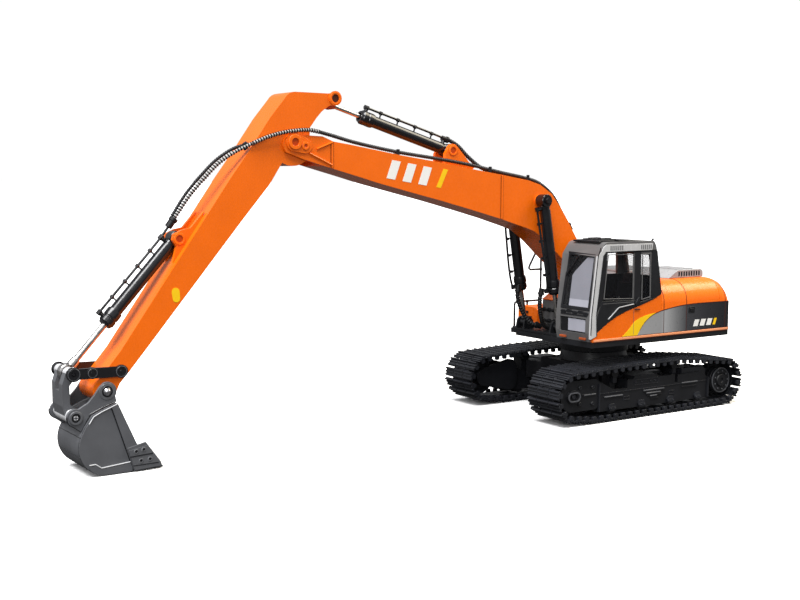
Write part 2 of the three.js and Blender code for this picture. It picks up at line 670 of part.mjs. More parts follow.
function stickSolid() {
  const outline = stickOutline().reverse();
  const [ey, ez] = BUCKET_RAM.base;
  const bracket = [[ey + 2, ez + 7], [ey - 5, ez + 3.6], [ey - 6, ez - 1], [ey - 2.6, ez - 6], [ey - 8, ez - 28],
    [ey + 12, ez - 5], [ey + 22, ez + 22], [ey + 10, ez + 8.6]].reverse();
  const plate = slab(bracket, 6.2, 9.6);
  const boss = cut(disc([-319, 297.4], 6.2, STICK_HALF - 0.2, 16.8), disc([-319, 297.4], 3.6, 10, 20));
  const [ty, tz] = STICK_RAM.end;
  const pocket = join(
    disc([ty - 1, tz], 11, -5.4, 5.4), block(-5.4, 5.4, ty - 1, ty + 30, tz - 20, tz + 20),
  );
  const body = join(slab(outline, -STICK_HALF, STICK_HALF), plate, mirrored(plate), boss, mirrored(boss),
    disc(BUCKET_RAM.base, 2.6, -8, 8, 16));
  return cut(
    body, pocket,
    disc(STICK_PIVOT, 4.4, -24, 24), disc(BUCKET_PIVOT, 3.4, -24, 24, 20), disc(ROCKER_PIVOT, 2.8, -24, 24, 16),
  );
}

function steppedPin(centre, end, waist) {
  const thick = disc(centre, 2, waist, end, 16);
  return join(disc(centre, 1.2, -waist - 1, waist + 1, 16), thick, mirrored(thick));
}

function rockerPlate() {
  const bar = strap(ROCKER_PIVOT, 4, ROCKER_TIP, 4.2, 16.1, 18.4);
  const bosses = [[ROCKER_PIVOT, 5.2], [ROCKER_TIP, 5.8], [[-538.2, 79.5], 4.6]].map(
    ([centre, radius]) => disc(centre, radius, 16.1, 18.6, 20));
  return cut(
    join(bar, ...bosses), disc(ROCKER_PIVOT, 2.8, 10, 30, 16), disc(ROCKER_TIP, 2.4, 10, 30, 16),
  );
}

function bucketLink() {
  const upper = [-557.5, 71];
  const lower = [-557.5, 55];
  const plate = join(
    strap(ROCKER_TIP, 4.4, upper, 2.9, -12.4, 12.4), strap(upper, 2.9, lower, 2.9, -12.4, 12.4),
    strap(lower, 2.9, LINK_PIN, 5.2, -12.4, 12.4),
  );
  return cut(
    plate, block(-4.6, 4.6, -570, -540, 66, 90),
    disc(ROCKER_TIP, 2.4, -30, 30, 16), disc(LINK_PIN, 3.9, -30, 30),
  );
}

function stickHose() {
  return [[17.3, -399, 257.7], [13, -410.4, 251.8], [9, -424.4, 242.3], [6, -436.6, 229.7], [3, -449, 214.8],
    [1, -459, 200.3], [0, -466, 190.6]];
}

function jointHose() {
  return [[19, -336.2, 268.4], [19.6, -347.7, 269.8], [19.6, -366.8, 268], [19, -383.4, 264],
    [17.4, -398.4, 258]];
}

function buildStick() {
  place('stick', 'stick', stickSolid(), ORANGE);
  place('stick', 'bucket_pin', disc(BUCKET_PIVOT, 3, -22, 22, 20), SILVER);
  place('stick', 'rocker_pivot_pin', disc(ROCKER_PIVOT, 2.4, -19.4, 19.4, 16), BLACK);
  place('stick', 'bucket_ram_barrel', ramBarrel(BUCKET_RAM), BLACK);
  place('stick', 'bucket_ram_rod', ramRod(BUCKET_RAM, 50, 6.4, 4.7), CHROME);
  placeSide('stick', 'rocker', 'left', rockerPlate(), BLACK);
  placeSide('stick', 'rocker', 'right', rockerPlate(), BLACK);
  place('stick', 'rocker_tip_pin', steppedPin(ROCKER_TIP, 19, 4.6), SILVER);
  place('stick', 'bucket_link', bucketLink(), GREY);
  place('stick', 'joint_hose', hose(jointHose(), 1.8, 10), RUBBER);
  place('stick', 'stick_hose', hose(stickHose(), 1.8, 12), RUBBER);
}

// ---------------------------------------------------------------- bucket
function bucketShell() {
  const outer = [
    [-521.5, 55.4], [-534.3, 50.6], [-541, 47.4], [-547.4, 39], ...arc([-530, 22.6], 23, 152, 256, 9), [-508, 0],
    [-499.4, 0.4], [-506, 20],
  ].reverse();
  const inner = [
    [-519, 51.6], [-533.4, 47.4], [-539.4, 44.6], ...arc([-530, 22.6], 20.4, 150, 256, 9), [-508, 2.6],
    [-480, 2.6], [-480, 60], [-510, 60],
  ].reverse();
  const ear = [
    ...arc(BUCKET_PIVOT, 7.6, -30, 110, 6), [-537.5, 64.5], [-544.6, 55.6], ...arc(LINK_PIN, 7, 75, 250, 8),
    [-555.5, 41], [-549.4, 35.2], [-545.2, 42.4], [-542, 48.6], [-533, 52.4], [-520.6, 56.6],
  ].reverse();
  const earPlate = slab(ear, 18.9, 21.4);
  const teeth = [-22, -11, 0, 11, 22].map((x) => slab(
    [[-503, 0.2], [-484, 0.2], [-484, 1.6], [-494, 4.6], [-503, 4.6]], x - 2.6, x + 2.6));
  return cut(
    join(
      cut(slab(outer, -26, 26), slab(inner, -23.6, 23.6)),
      earPlate, mirrored(earPlate), sideCutter(), mirrored(sideCutter()), ...teeth,
    ),
    disc(BUCKET_PIVOT, 3.4, -30, 30, 20), disc(LINK_PIN, 2.4, -30, 30, 16),
  );
}

function sideCutter() {
  return slab([[-503.6, 22], [-497.2, 19.4], [-488.6, 6], [-486.6, 2], [-508.6, 2]].reverse(), 25, 27.8);
}

function buildBucket() {
  const sleeve = disc(LINK_PIN, 4.4, 12.8, 18.7, 20);
  place('bucket', 'bucket', bucketShell(), GREY);
  place('bucket', 'link_pin', join(steppedPin(LINK_PIN, 22.4, 12.8), sleeve, mirrored(sleeve)), SILVER);
}

buildUndercarriage();
buildHouse();
buildBoom();
buildStick();
buildBucket();

export default machine;
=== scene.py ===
"""Radio-controlled long-arm excavator: the visible model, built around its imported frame.

Shapes are drawn in millimetres in the machine's own frame: x across, y along the arm (negative is
towards the bucket) and z up, measured from the slewing axis. metres() turns them into the row frame.
"""

import json
import math

import bmesh
import bpy
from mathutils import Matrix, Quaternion, Vector


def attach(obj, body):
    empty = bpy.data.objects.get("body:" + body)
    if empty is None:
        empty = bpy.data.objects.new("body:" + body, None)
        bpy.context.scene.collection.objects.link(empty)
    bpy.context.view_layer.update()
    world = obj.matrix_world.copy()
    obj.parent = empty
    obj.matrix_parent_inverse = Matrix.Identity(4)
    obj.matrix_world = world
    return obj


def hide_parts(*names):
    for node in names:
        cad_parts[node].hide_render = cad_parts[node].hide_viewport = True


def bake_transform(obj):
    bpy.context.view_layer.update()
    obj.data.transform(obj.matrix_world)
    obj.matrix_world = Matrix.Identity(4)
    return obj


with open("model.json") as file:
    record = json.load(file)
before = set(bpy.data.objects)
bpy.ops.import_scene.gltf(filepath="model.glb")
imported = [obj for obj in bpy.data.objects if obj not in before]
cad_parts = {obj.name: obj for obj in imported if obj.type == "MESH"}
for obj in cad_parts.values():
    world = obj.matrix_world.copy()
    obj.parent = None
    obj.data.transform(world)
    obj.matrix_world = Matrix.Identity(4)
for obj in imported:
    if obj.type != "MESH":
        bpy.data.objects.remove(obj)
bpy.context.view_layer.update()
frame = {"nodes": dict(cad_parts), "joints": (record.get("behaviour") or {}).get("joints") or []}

MM = 0.001
JOINTS = {joint["name"]: joint for joint in frame["joints"]}
SHIFT_Y = JOINTS["slew"]["pos_m"][1]

CAMERA_PLACE = (0.9145, -0.6380, 0.2311)
CAMERA_TARGET = (-0.0984, 0.0428, 0.1064)
CAMERA_LENS = 54.4
CAMERA_ROLL = 0.19
SENSOR_WIDTH = 36
FLOOR_REACH = 40
FLOOR_DROP = 0.0004
SUN_ENERGY = 5.6
SUN_ANGLE = 38
SUN_DIRECTION = (-0.30, 0.50, -1.25)

TRACK_X = 66.0
TRACK_HALF = 22.0
SHOES = 56
HOUSE_X = 84.8
DECK_TOP = 76.5
HOUSE_TOP = 130.0
HOUSE_REAR = 110.0
PLAN_ROUND = 7.0
SHOULDER_ROUND = 21.0
TAIL_ROUND = 20.0
SHELL_FRONT = 9.8
RIGHT_FRONT = 20.0
RIGHT_EDGE = -36.0
BOOM_RAM_X = 25.5
RAM_EYE_HALF = 3.5
SPROCKET_TEETH = 17
BRUSH_STRETCH = (1, 0.06, 1)
SIDES = (("left", 1), ("right", -1))
EASED_ANGLE = 32


def metres(x, y, z):
    return Vector((x * MM, y * MM + SHIFT_Y, z * MM))


def pivot(joint):
    """A joint's place as (y, z) in machine millimetres."""
    _, y, z = JOINTS[joint]["pos_m"]
    return ((y - SHIFT_Y) / MM, z / MM)


BOOM_FOOT = pivot("boom")
STICK_PIVOT = pivot("stick")
BUCKET_PIVOT = pivot("bucket")
ROCKER_PIVOT = pivot("rocker")
ROCKER_TIP = pivot("bucket_link")
LINK_PIN = (-553.4, 46.5)
BOOM_RAM_BASE = pivot("boom_ram_swing_left")
BOOM_RAM_END = (-71.0, 85.0)
STICK_RAM_BASE = pivot("stick_ram_swing")
STICK_RAM_END = (-315.5, 293.0)
BUCKET_RAM_BASE = pivot("bucket_ram_swing")


# ------------------------------------------------------------------ shapes
def arc(centre, radius, start, end, steps=8):
    """Points on a round stretch, in degrees."""
    angles = [math.radians(start + (end - start) * i / steps) for i in range(steps + 1)]
    return [(centre[0] + radius * math.cos(a), centre[1] + radius * math.sin(a)) for a in angles]


def around(wheels, grow=0.0, step=5.0):
    """The taut outline round (y, z, radius) wheels, taken anticlockwise."""
    count = len(wheels)
    leave = []
    for i, (y, z, r) in enumerate(wheels):
        y2, z2, r2 = wheels[(i + 1) % count]
        far = math.hypot(y2 - y, z2 - z)
        leave.append(math.degrees(math.atan2(z2 - z, y2 - y) - math.acos((r - r2) / far)))
    points = []
    for i, (y, z, r) in enumerate(wheels):
        start = leave[i - 1]
        sweep = (leave[i] - start) % 360
        points += arc((y, z), r + grow, start, start + sweep, max(1, math.ceil(sweep / step)))
    return points


def strap(a, radius_a, b, radius_b):
    return around([(*a, radius_a), (*b, radius_b)], step=10)


PLANES = {
    "side": lambda u, v, w: (w, u, v),
    "front": lambda u, v, w: (u, w, v),
    "plan": lambda u, v, w: (u, v, w),
}


class Shape:
    """Closed bodies in machine millimetres, gathered into one piece."""

    def __init__(self):
        self.points = []
        self.faces = []

    def add(self, points, faces):
        base = len(self.points)
        self.points += [Vector(p) for p in points]
        self.faces += [[base + i for i in face] for face in faces]
        return self

    def prism(self, outline, low, high, plane="side"):
        """An outline of two coordinates made solid between two depths."""
        put = PLANES[plane]
        n = len(outline)
        points = [put(u, v, low) for u, v in outline] + [put(u, v, high) for u, v in outline]
        walls = [[i, (i + 1) % n, n + (i + 1) % n, n + i] for i in range(n)]
        return self.add(points, [list(range(n))[::-1], list(range(n, 2 * n)), *walls])

    def ring(self, outer, inner, low, high, plane="side"):
        """The band between two outlines with the same number of points."""
        put = PLANES[plane]
        n = len(outer)
        points = [put(u, v, w) for line, w in ((outer, low), (inner, low), (inner, high), (outer, high))
                  for u, v in line]
        faces = []
        for band in range(4):
            a, b = band * n, (band + 1) % 4 * n
            faces += [[a + i, a + (i + 1) % n, b + (i + 1) % n, b + i] for i in range(n)]
        return self.add(points, faces)

    def box(self, x0, x1, y0, y1, z0, z1):
        return self.prism([(y0, z0), (y1, z0), (y1, z1), (y0, z1)], x0, x1)

    def lathe(self, profile, start, towards, segments=32, closed=False):
        """(distance, radius) pairs turned about the line from one point towards another."""
        start = Vector(start)
        axis = (Vector(towards) - start).normalized()
        side = axis.orthogonal().normalized()
        up = axis.cross(side)
        points, rings = [], []
        for distance, radius in profile:
            centre = start + axis * distance
            if radius == 0:
                rings.append([len(points)] * segments)
                points.append(centre)
                continue
            rings.append(list(range(len(points), len(points) + segments)))
            for i in range(segments):
                turn = 2 * math.pi * i / segments
                points.append(centre + (side * math.cos(turn) + up * math.sin(turn)) * radius)
        faces = []
        for one, two in zip(rings, rings[1:] + (rings[:1] if closed else [])):
            for i in range(segments):
                j = (i + 1) % segments
                face = list(dict.fromkeys([one[i], one[j], two[j], two[i]]))
                if len(face) > 2:
                    faces.append(face)
        return self.add(points, faces)

    def pin(self, centre, radius, x0, x1, segments=32, edge=0.3):
        """A bar along x with its ends eased."""
        length = x1 - x0
        profile = [(0, 0), (0, radius - edge), (edge, radius), (length - edge, radius),
                   (length, radius - edge), (length, 0)]
        return self.lathe(profile, (x0, *centre), (x1, *centre), segments)

    def bush(self, centre, outer, inner, x0, x1, segments=32):
        """A tube along x."""
        length = x1 - x0
        profile = [(0, inner), (0, outer - 0.3), (0.3, outer), (length - 0.3, outer),
                   (length, outer - 0.3), (length, inner)]
        return self.lathe(profile, (x0, *centre), (x1, *centre), segments, closed=True)

    def rod(self, a, b, radius, segments=16):
        length = (Vector(b) - Vector(a)).length
        profile = [(0, 0), (0, radius * 0.8), (radius * 0.2, radius), (length - radius * 0.2, radius),
                   (length, radius * 0.8), (length, 0)]
        return self.lathe(profile, a, b, segments)

    def sweep(self, path, radii, segments=12):
        """A tube along a path, with a radius for each of its points."""
        path = [Vector(p) for p in path]
        tangents = [(path[min(i + 1, len(path) - 1)] - path[max(i - 1, 0)]).normalized()
                    for i in range(len(path))]
        side = tangents[0].orthogonal().normalized()
        points, rings = [], []
        for centre, tangent, radius in zip(path, tangents, radii):
            side = (side - tangent * side.dot(tangent)).normalized()
            up = tangent.cross(side)
            rings.append(range(len(points), len(points) + segments))
            for i in range(segments):
                turn = 2 * math.pi * i / segments
                points.append(centre + (side * math.cos(turn) + up * math.sin(turn)) * radius)
        faces = [list(rings[0])[::-1], list(rings[-1])]
        for one, two in zip(rings, rings[1:]):
            faces += [[one[i], one[(i + 1) % segments], two[(i + 1) % segments], two[i]]
                      for i in range(segments)]
        return self.add(points, faces)

    def hex_bolt(self, x, centre, radius, height, side=1):
        """A bolt head on a face that looks along x."""
        self.lathe([(0, 0), (0, radius), (height, radius * 0.9), (height, 0)],
                   (x, *centre), (x + side, *centre), 6)
        return self

    def join(self, other):
        return self.add(other.points, other.faces)

    def mirrored(self):
        """A copy on the other side of the machine."""
        other = Shape()
        other.points = [Vector((-p.x, p.y, p.z)) for p in self.points]
        other.faces = [face[::-1] for face in self.faces]
        return other

    def with_mirror(self):
        return self.join(self.mirrored())

    def on_side(self, sign):
        return self if sign > 0 else self.mirrored()


def spans(x0, x1):
    """The same stretch of x on each side of the machine."""
    return (x0, x1), (-x1, -x0)


def smooth_route(points, step):
    """A centripetal curve through the points, sampled about every step millimetres."""
    points = [Vector(p) for p in points]
    padded = [points[0] * 2 - points[1], *points, points[-1] * 2 - points[-2]]
    route = [points[0]]
    for a, b, c, d in zip(padded, padded[1:], padded[2:], padded[3:]):
        ta = 0.0
        tb = ta + math.sqrt((b - a).length)
        tc = tb + math.sqrt((c - b).length)
        td = tc + math.sqrt((d - c).length)
        count = max(2, round((c - b).length / step))
        for i in range(1, count + 1):
            t = tb + (tc - tb) * i / count
            ab = a.lerp(b, (t - ta) / (tb - ta))
            bc = b.lerp(c, (t - tb) / (tc - tb))
            cd = c.lerp(d, (t - tc) / (td - tc))
            abc = ab.lerp(bc, (t - ta) / (tc - ta))
            bcd = bc.lerp(cd, (t - tb) / (td - tb))
            route.append(abc.lerp(bcd, (t - tb) / (tc - tb)))
    return route


def ease_edges(thing, bevel, angle):
    """Rounds the edges that turn by more than an angle in degrees."""
    edge = thing.modifiers.new("edges", "BEVEL")
    edge.width = bevel * MM
    edge.segments = 2
    edge.limit_method = "ANGLE"
    edge.angle_limit = math.radians(angle)
    return edge


def piece(name, shape, material, body, replaces=(), bevel=0.0, angle=EASED_ANGLE):
    """Turns a shape into an object that rides on a CAD body."""
    work = bmesh.new()
    verts = [work.verts.new(metres(*p)) for p in shape.points]
    for face in shape.faces:
        work.faces.new([verts[i] for i in face])
    bmesh.ops.recalc_face_normals(work, faces=work.faces)
    mesh = bpy.data.meshes.new(name)
    work.to_mesh(mesh)
    work.free()
    mesh.shade_smooth()
    mesh.materials.append(material)
    thing = bpy.data.objects.new(name, mesh)
    bpy.context.scene.collection.objects.link(thing)
    if bevel:
        ease_edges(thing, bevel, angle).harden_normals = True
    else:
        mesh.set_sharp_from_angle(angle=math.radians(angle))
    if isinstance(body, str):
        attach(thing, body)
    if replaces:
        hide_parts(*replaces)
    return thing


def dress(node, material, bevel=0.4):
    """Gives a CAD node its material and eased, evenly shaded edges."""
    thing = frame["nodes"][node]
    thing.data.materials.clear()
    thing.data.materials.append(material)
    thing.data.polygons.foreach_set("use_smooth", [True] * len(thing.data.polygons))
    weld = thing.modifiers.new("weld", "WELD")
    weld.merge_threshold = 0.001 * MM
    ease_edges(thing, bevel, EASED_ANGLE)
    shade = thing.modifiers.new("shade", "WEIGHTED_NORMAL")
    shade.weight = 100


# ------------------------------------------------------------------ materials
class Finish:
    """A procedural material with a few helpers for wiring its nodes."""

    def __init__(self, name):
        self.material = bpy.data.materials.new(name)
        self.material.use_nodes = True
        self.tree = self.material.node_tree
        self.shader = self.tree.nodes["Principled BSDF"]
        coordinates = self.tree.nodes.new("ShaderNodeTexCoord")
        self.place = coordinates.outputs["Object"]

    def set(self, **values):
        for name, value in values.items():
            self.shader.inputs[name.replace("_", " ")].default_value = value
        return self

    def noise(self, size_mm, detail=3.0, stretch=(1, 1, 1)):
        """Soft noise whose blotches are about size_mm across."""
        mapping = self.tree.nodes.new("ShaderNodeMapping")
        mapping.inputs["Scale"].default_value = stretch
        self.tree.links.new(self.place, mapping.inputs["Vector"])
        noise = self.tree.nodes.new("ShaderNodeTexNoise")
        noise.inputs["Scale"].default_value = 1.0 / (size_mm * MM)
        noise.inputs["Detail"].default_value = detail
        self.tree.links.new(mapping.outputs["Vector"], noise.inputs["Vector"])
        return noise.outputs["Fac"]

    def ramp(self, factor, stops):
        node = self.tree.nodes.new("ShaderNodeValToRGB")
        self.tree.links.new(factor, node.inputs["Fac"])
        elements = node.color_ramp.elements
        elements[0].position, elements[0].color = stops[0]
        elements[1].position, elements[1].color = stops[-1]
        for position, colour in stops[1:-1]:
            elements.new(position).color = colour
        return node.outputs["Color"]

    def spread(self, factor, low, high):
        node = self.tree.nodes.new("ShaderNodeMapRange")
        node.inputs["To Min"].default_value = low
        node.inputs["To Max"].default_value = high
        node.inputs["From Min"].default_value = 0.3
        node.inputs["From Max"].default_value = 0.7
        self.tree.links.new(factor, node.inputs["Value"])
        return node.outputs["Result"]

    def link(self, output, name):
        self.tree.links.new(output, self.shader.inputs[name])
        return self

    def bump(self, height, strength, distance_mm):
        node = self.tree.nodes.new("ShaderNodeBump")
        node.inputs["Strength"].default_value = strength
        node.inputs["Distance"].default_value = distance_mm * MM
        self.tree.links.new(height, node.inputs["Height"])
        return self.link(node.outputs["Normal"], "Normal")


def tone(colour, share):
    return (*[min(1.0, c * share) for c in colour], 1.0)


def moulded(name, colour, roughness, grain_mm=1.6, relief=0.1, mottle=0.06, gloss=0.3, metallic=0.0):
    """Moulded or sprayed plastic: faint mottling, uneven gloss and a fine surface grain."""
    made = Finish(name)
    made.set(Metallic=metallic)
    made.shader.inputs["Specular IOR Level"].default_value = gloss
    blotch = made.noise(18)
    stops = [(0.3, tone(colour, 1 - mottle)), (0.5, tone(colour, 1.0)), (0.7, tone(colour, 1 + mottle))]
    made.link(made.ramp(blotch, stops), "Base Color")
    made.link(made.spread(made.noise(3.5), roughness - 0.05, roughness + 0.06), "Roughness")
    made.bump(made.noise(grain_mm, 1.0), relief, 0.04)
    return made.material


def brushed(name, colour, roughness):
    """Bare metal with fine turning or drawing marks."""
    made = Finish(name)
    made.set(Metallic=1.0)
    marks = made.noise(4.0, 1.0, BRUSH_STRETCH)
    made.link(made.ramp(marks, [(0.3, tone(colour, 0.86)), (0.7, tone(colour, 1.05))]), "Base Color")
    made.link(made.spread(marks, roughness - 0.04, roughness + 0.08), "Roughness")
    return made.material


def smoked_glass(name, colour, cover):
    """Thin clear plastic: mostly see-through, tinted, with a sharp gloss and a faint ripple."""
    made = Finish(name)
    made.set(Roughness=0.05, Alpha=cover)
    made.shader.inputs["Specular IOR Level"].default_value = 0.8
    stops = [(0.35, tone(colour, 0.92)), (0.65, tone(colour, 1.08))]
    made.link(made.ramp(made.noise(14), stops), "Base Color")
    made.bump(made.noise(9, 1.0), 0.05, 0.05)
    return made.material


def side_print(name, stops, start_y, end_y):
    """A printed panel whose tone runs along the machine."""
    made = Finish(name)
    split = made.tree.nodes.new("ShaderNodeSeparateXYZ")
    made.tree.links.new(made.place, split.inputs["Vector"])
    node = made.tree.nodes.new("ShaderNodeMapRange")
    node.inputs["From Min"].default_value = metres(0, start_y, 0).y
    node.inputs["From Max"].default_value = metres(0, end_y, 0).y
    made.tree.links.new(split.outputs["Y"], node.inputs["Value"])
    made.link(made.ramp(node.outputs["Result"], stops), "Base Color")
    made.link(made.spread(made.noise(3), 0.26, 0.34), "Roughness")
    made.shader.inputs["Specular IOR Level"].default_value = 0.35
    return made.material


ORANGE_TONE = (0.86, 0.146, 0.004)
ORANGE = moulded("orange_plastic", ORANGE_TONE, 0.27, 3.0, 0.03, 0.03, gloss=0.36)
# A paler copy of the orange, used as a painted highlight along the lower bead.
ORANGE_PAINTED_HIGHLIGHT = moulded("orange_edge_painted_highlight", (0.82, 0.31, 0.14), 0.30, 3.0, 0.03, 0.03, gloss=0.5)
# A lighter copy of the silver paint: a painted highlight on the cab pillar and roof edge.
PILLAR_PAINTED_HIGHLIGHT = moulded("silver_pillar_painted_highlight", (0.52, 0.52, 0.525), 0.26, 3.0, 0.03, 0.04, gloss=0.5)
# A darker copy of the orange: painted shade on the stick ram eye, the sunk pivot pin ends and the sunk lug
# screws.
ORANGE_PAINTED_SHADE = moulded("orange_painted_shade_plastic", (0.46, 0.052, 0.003), 0.34, 3.0, 0.05, 0.04)
BLACK = moulded("black_plastic", (0.009, 0.0094, 0.0115), 0.40, mottle=0.25, gloss=0.36)
TRACK = moulded("track_plastic", (0.014, 0.015, 0.019), 0.38, mottle=0.30, gloss=0.45)
# A lighter copy of the black plastic: painted highlights on edges and rims.
EDGE_HIGHLIGHT_GREY = moulded("grey_painted_edge_highlight", (0.075, 0.077, 0.085), 0.36, mottle=0.20, gloss=0.4)
SATIN = moulded("satin_black", (0.007, 0.0073, 0.009), 0.20, 2.0, 0.04, 0.2, gloss=0.6)
CAB_GREY = moulded("cab_grey_paint", (0.115, 0.113, 0.114), 0.34, 2.0, 0.05, 0.07, gloss=0.35)
BUCKET_GREY = moulded("bucket_grey_paint", (0.105, 0.108, 0.117), 0.36, mottle=0.10, gloss=0.4,
                      metallic=0.15)
SILVER = moulded("silver_paint", (0.36, 0.362, 0.37), 0.30, 3.0, 0.03, 0.05, gloss=0.4, metallic=0.2)
# A bright grey for pins and sleeves, also used for painted highlights along the bucket edges.
BRIGHT_GREY_AND_HIGHLIGHT = moulded("bright_grey_and_painted_highlight", (0.62, 0.625, 0.64), 0.26, 3.0, 0.03, 0.05, gloss=0.5, metallic=0.2)
YELLOW = moulded("yellow_print", (0.90, 0.56, 0.010), 0.32, 3.0, 0.03, 0.03)
WHITE = moulded("white_print", (0.84, 0.83, 0.80), 0.34, 3.0, 0.03, 0.02)
AMBER = moulded("amber_lamp", (0.36, 0.07, 0.018), 0.18, 3.0, 0.03, 0.10, gloss=0.6)
SEAM = moulded("seam_shadow", (0.055, 0.008, 0.002), 0.6, 3.0, 0.1, 0.1)
HOSE = moulded("hose_rubber", (0.008, 0.008, 0.009), 0.42, mottle=0.2)
HOSE_CORE = moulded("hose_wrap", (0.42, 0.41, 0.39), 0.45, mottle=0.15)
BOARD = moulded("solder_mask", (0.02, 0.12, 0.05), 0.35, 0.8, 0.1, 0.1)
CELL_WRAP = moulded("battery_wrap", (0.03, 0.12, 0.05), 0.3, 0.8, 0.05, 0.1)
CHROME = brushed("polished_rod", (0.60, 0.585, 0.57), 0.24)
STEEL = brushed("steel_pin", (0.52, 0.52, 0.54), 0.28)
GLASS = smoked_glass("smoked_glass", (0.012, 0.013, 0.016), 0.22)
PALE_GLASS = moulded("pale_film", (0.37, 0.375, 0.43), 0.16, 3.0, 0.03, 0.05, gloss=0.5)
PATCH = side_print(
    "silver_panel_print",
    [(0.0, (0.31, 0.31, 0.315, 1)), (0.5, (0.27, 0.272, 0.28, 1)), (0.58, (0.33, 0.335, 0.345, 1)),
     (0.80, (0.17, 0.173, 0.18, 1)), (1.0, (0.06, 0.062, 0.068, 1))], -26, 44)
DARK_PANEL = side_print(
    "dark_panel_print",
    [(0.0, (0.045, 0.046, 0.052, 1)), (0.5, (0.024, 0.025, 0.029, 1)), (1.0, (0.012, 0.0125, 0.015, 1))],
    44, 104)


# ------------------------------------------------------------------ camera, floor and light
def stand_camera():
    """The fixed viewpoint, turned slightly about its own axis."""
    camera = bpy.data.objects.new("camera", bpy.data.cameras.new("camera"))
    bpy.context.scene.collection.objects.link(camera)
    camera.data.lens = CAMERA_LENS
    camera.data.sensor_width = SENSOR_WIDTH
    camera.location = CAMERA_PLACE
    look = Vector(CAMERA_TARGET) - Vector(CAMERA_PLACE)
    camera.rotation_mode = "QUATERNION"
    roll = Quaternion((0, 0, 1), math.radians(CAMERA_ROLL))
    camera.rotation_quaternion = look.to_track_quat("-Z", "Y") @ roll
    bpy.context.scene.camera = camera


def area_light(name, place, target, size, power, colour=(1, 1, 1)):
    light = bpy.data.lights.new(name, "AREA")
    light.shape = "SQUARE"
    light.size = size
    light.energy = power
    light.color = colour
    lamp = bpy.data.objects.new(name, light)
    lamp.location = place
    lamp.rotation_mode = "QUATERNION"
    lamp.rotation_quaternion = (Vector(target) - Vector(place)).to_track_quat("-Z", "Y")
    bpy.context.scene.collection.objects.link(lamp)


def studio():
    floor_mesh = bpy.data.meshes.new("floor")
    reach = FLOOR_REACH
    floor_mesh.from_pydata([(-reach, -reach, 0), (reach, -reach, 0), (reach, reach, 0), (-reach, reach, 0)],
                           [], [(0, 1, 2, 3)])
    floor = bpy.data.objects.new("floor", floor_mesh)
    bpy.context.scene.collection.objects.link(floor)
    floor.location.z = -FLOOR_DROP
    paper = Finish("floor_paper")
    paper.set(Roughness=0.8)
    paper.shader.inputs["Specular IOR Level"].default_value = 0.0
    paper.link(seen_or_lit(paper.tree, (1, 1, 1, 1), (0.055, 0.055, 0.055, 1)), "Base Color")
    floor_mesh.materials.append(paper.material)
    world = bpy.data.worlds.new("studio")
    bpy.context.scene.world = world
    world.use_nodes = True
    background = world.node_tree.nodes["Background"]
    tone_in = seen_or_lit(world.node_tree, (1.02, 1.02, 1.02, 1), (0.43, 0.435, 0.45, 1))
    world.node_tree.links.new(tone_in, background.inputs["Color"])
    bpy.context.scene.view_settings.view_transform = "Standard"
    sun = bpy.data.lights.new("soft_sun", "SUN")
    sun.energy = SUN_ENERGY
    sun.angle = math.radians(SUN_ANGLE)
    above = bpy.data.objects.new("soft_sun", sun)
    above.rotation_mode = "QUATERNION"
    above.rotation_quaternion = Vector(SUN_DIRECTION).to_track_quat("-Z", "Y")
    bpy.context.scene.collection.objects.link(above)
    area_light("front_light", (1.3, -1.3, 0.7), (0, 0, 0.12), 0.7, 11)
    area_light("top_rear_light", (0.35, 1.05, 1.1), (0, 0.25, 0.12), 0.8, 16, (1.0, 0.90, 0.70))


def seen_or_lit(tree, seen, lit):
    """One tone for the stage as it is seen, another for the light it throws on the model."""
    ray = tree.nodes.new("ShaderNodeLightPath")
    mix = tree.nodes.new("ShaderNodeMix")
    mix.data_type = "RGBA"
    for socket in mix.inputs:
        if socket.type == "RGBA" and socket.name == "A":
            socket.default_value = lit
        if socket.type == "RGBA" and socket.name == "B":
            socket.default_value = seen
    tree.links.new(ray.outputs["Is Camera Ray"], mix.inputs["Factor"])
    return next(socket for socket in mix.outputs if socket.type == "RGBA")


# ------------------------------------------------------------------ undercarriage
IDLER = (*pivot("idler_left"), 19.0)
SPROCKET = (*pivot("sprocket_left"), 18.9)
BELT_WHEELS = [(-78, 11.5, 6.2), (82, 11.5, 6.2), SPROCKET, (39, 44.4, 5), (-42, 43.4, 5), IDLER]
LOWER_ROLLERS = (-51.7, -12.7, 26.7, 65.5)


def even_stations(outline, count):
    """Places and directions spaced evenly round a closed outline."""
    loop = [Vector(p) for p in outline]
    loop.append(loop[0])
    lengths = [(b - a).length for a, b in zip(loop, loop[1:])]
    total = sum(lengths)
    stations = []
    for k in range(count):
        left = total * k / count
        i = 0
        while left > lengths[i]:
            left -= lengths[i]
            i += 1
        stations.append(loop[i].lerp(loop[i + 1], left / lengths[i]))
    pitch = total / count
    return stations, pitch


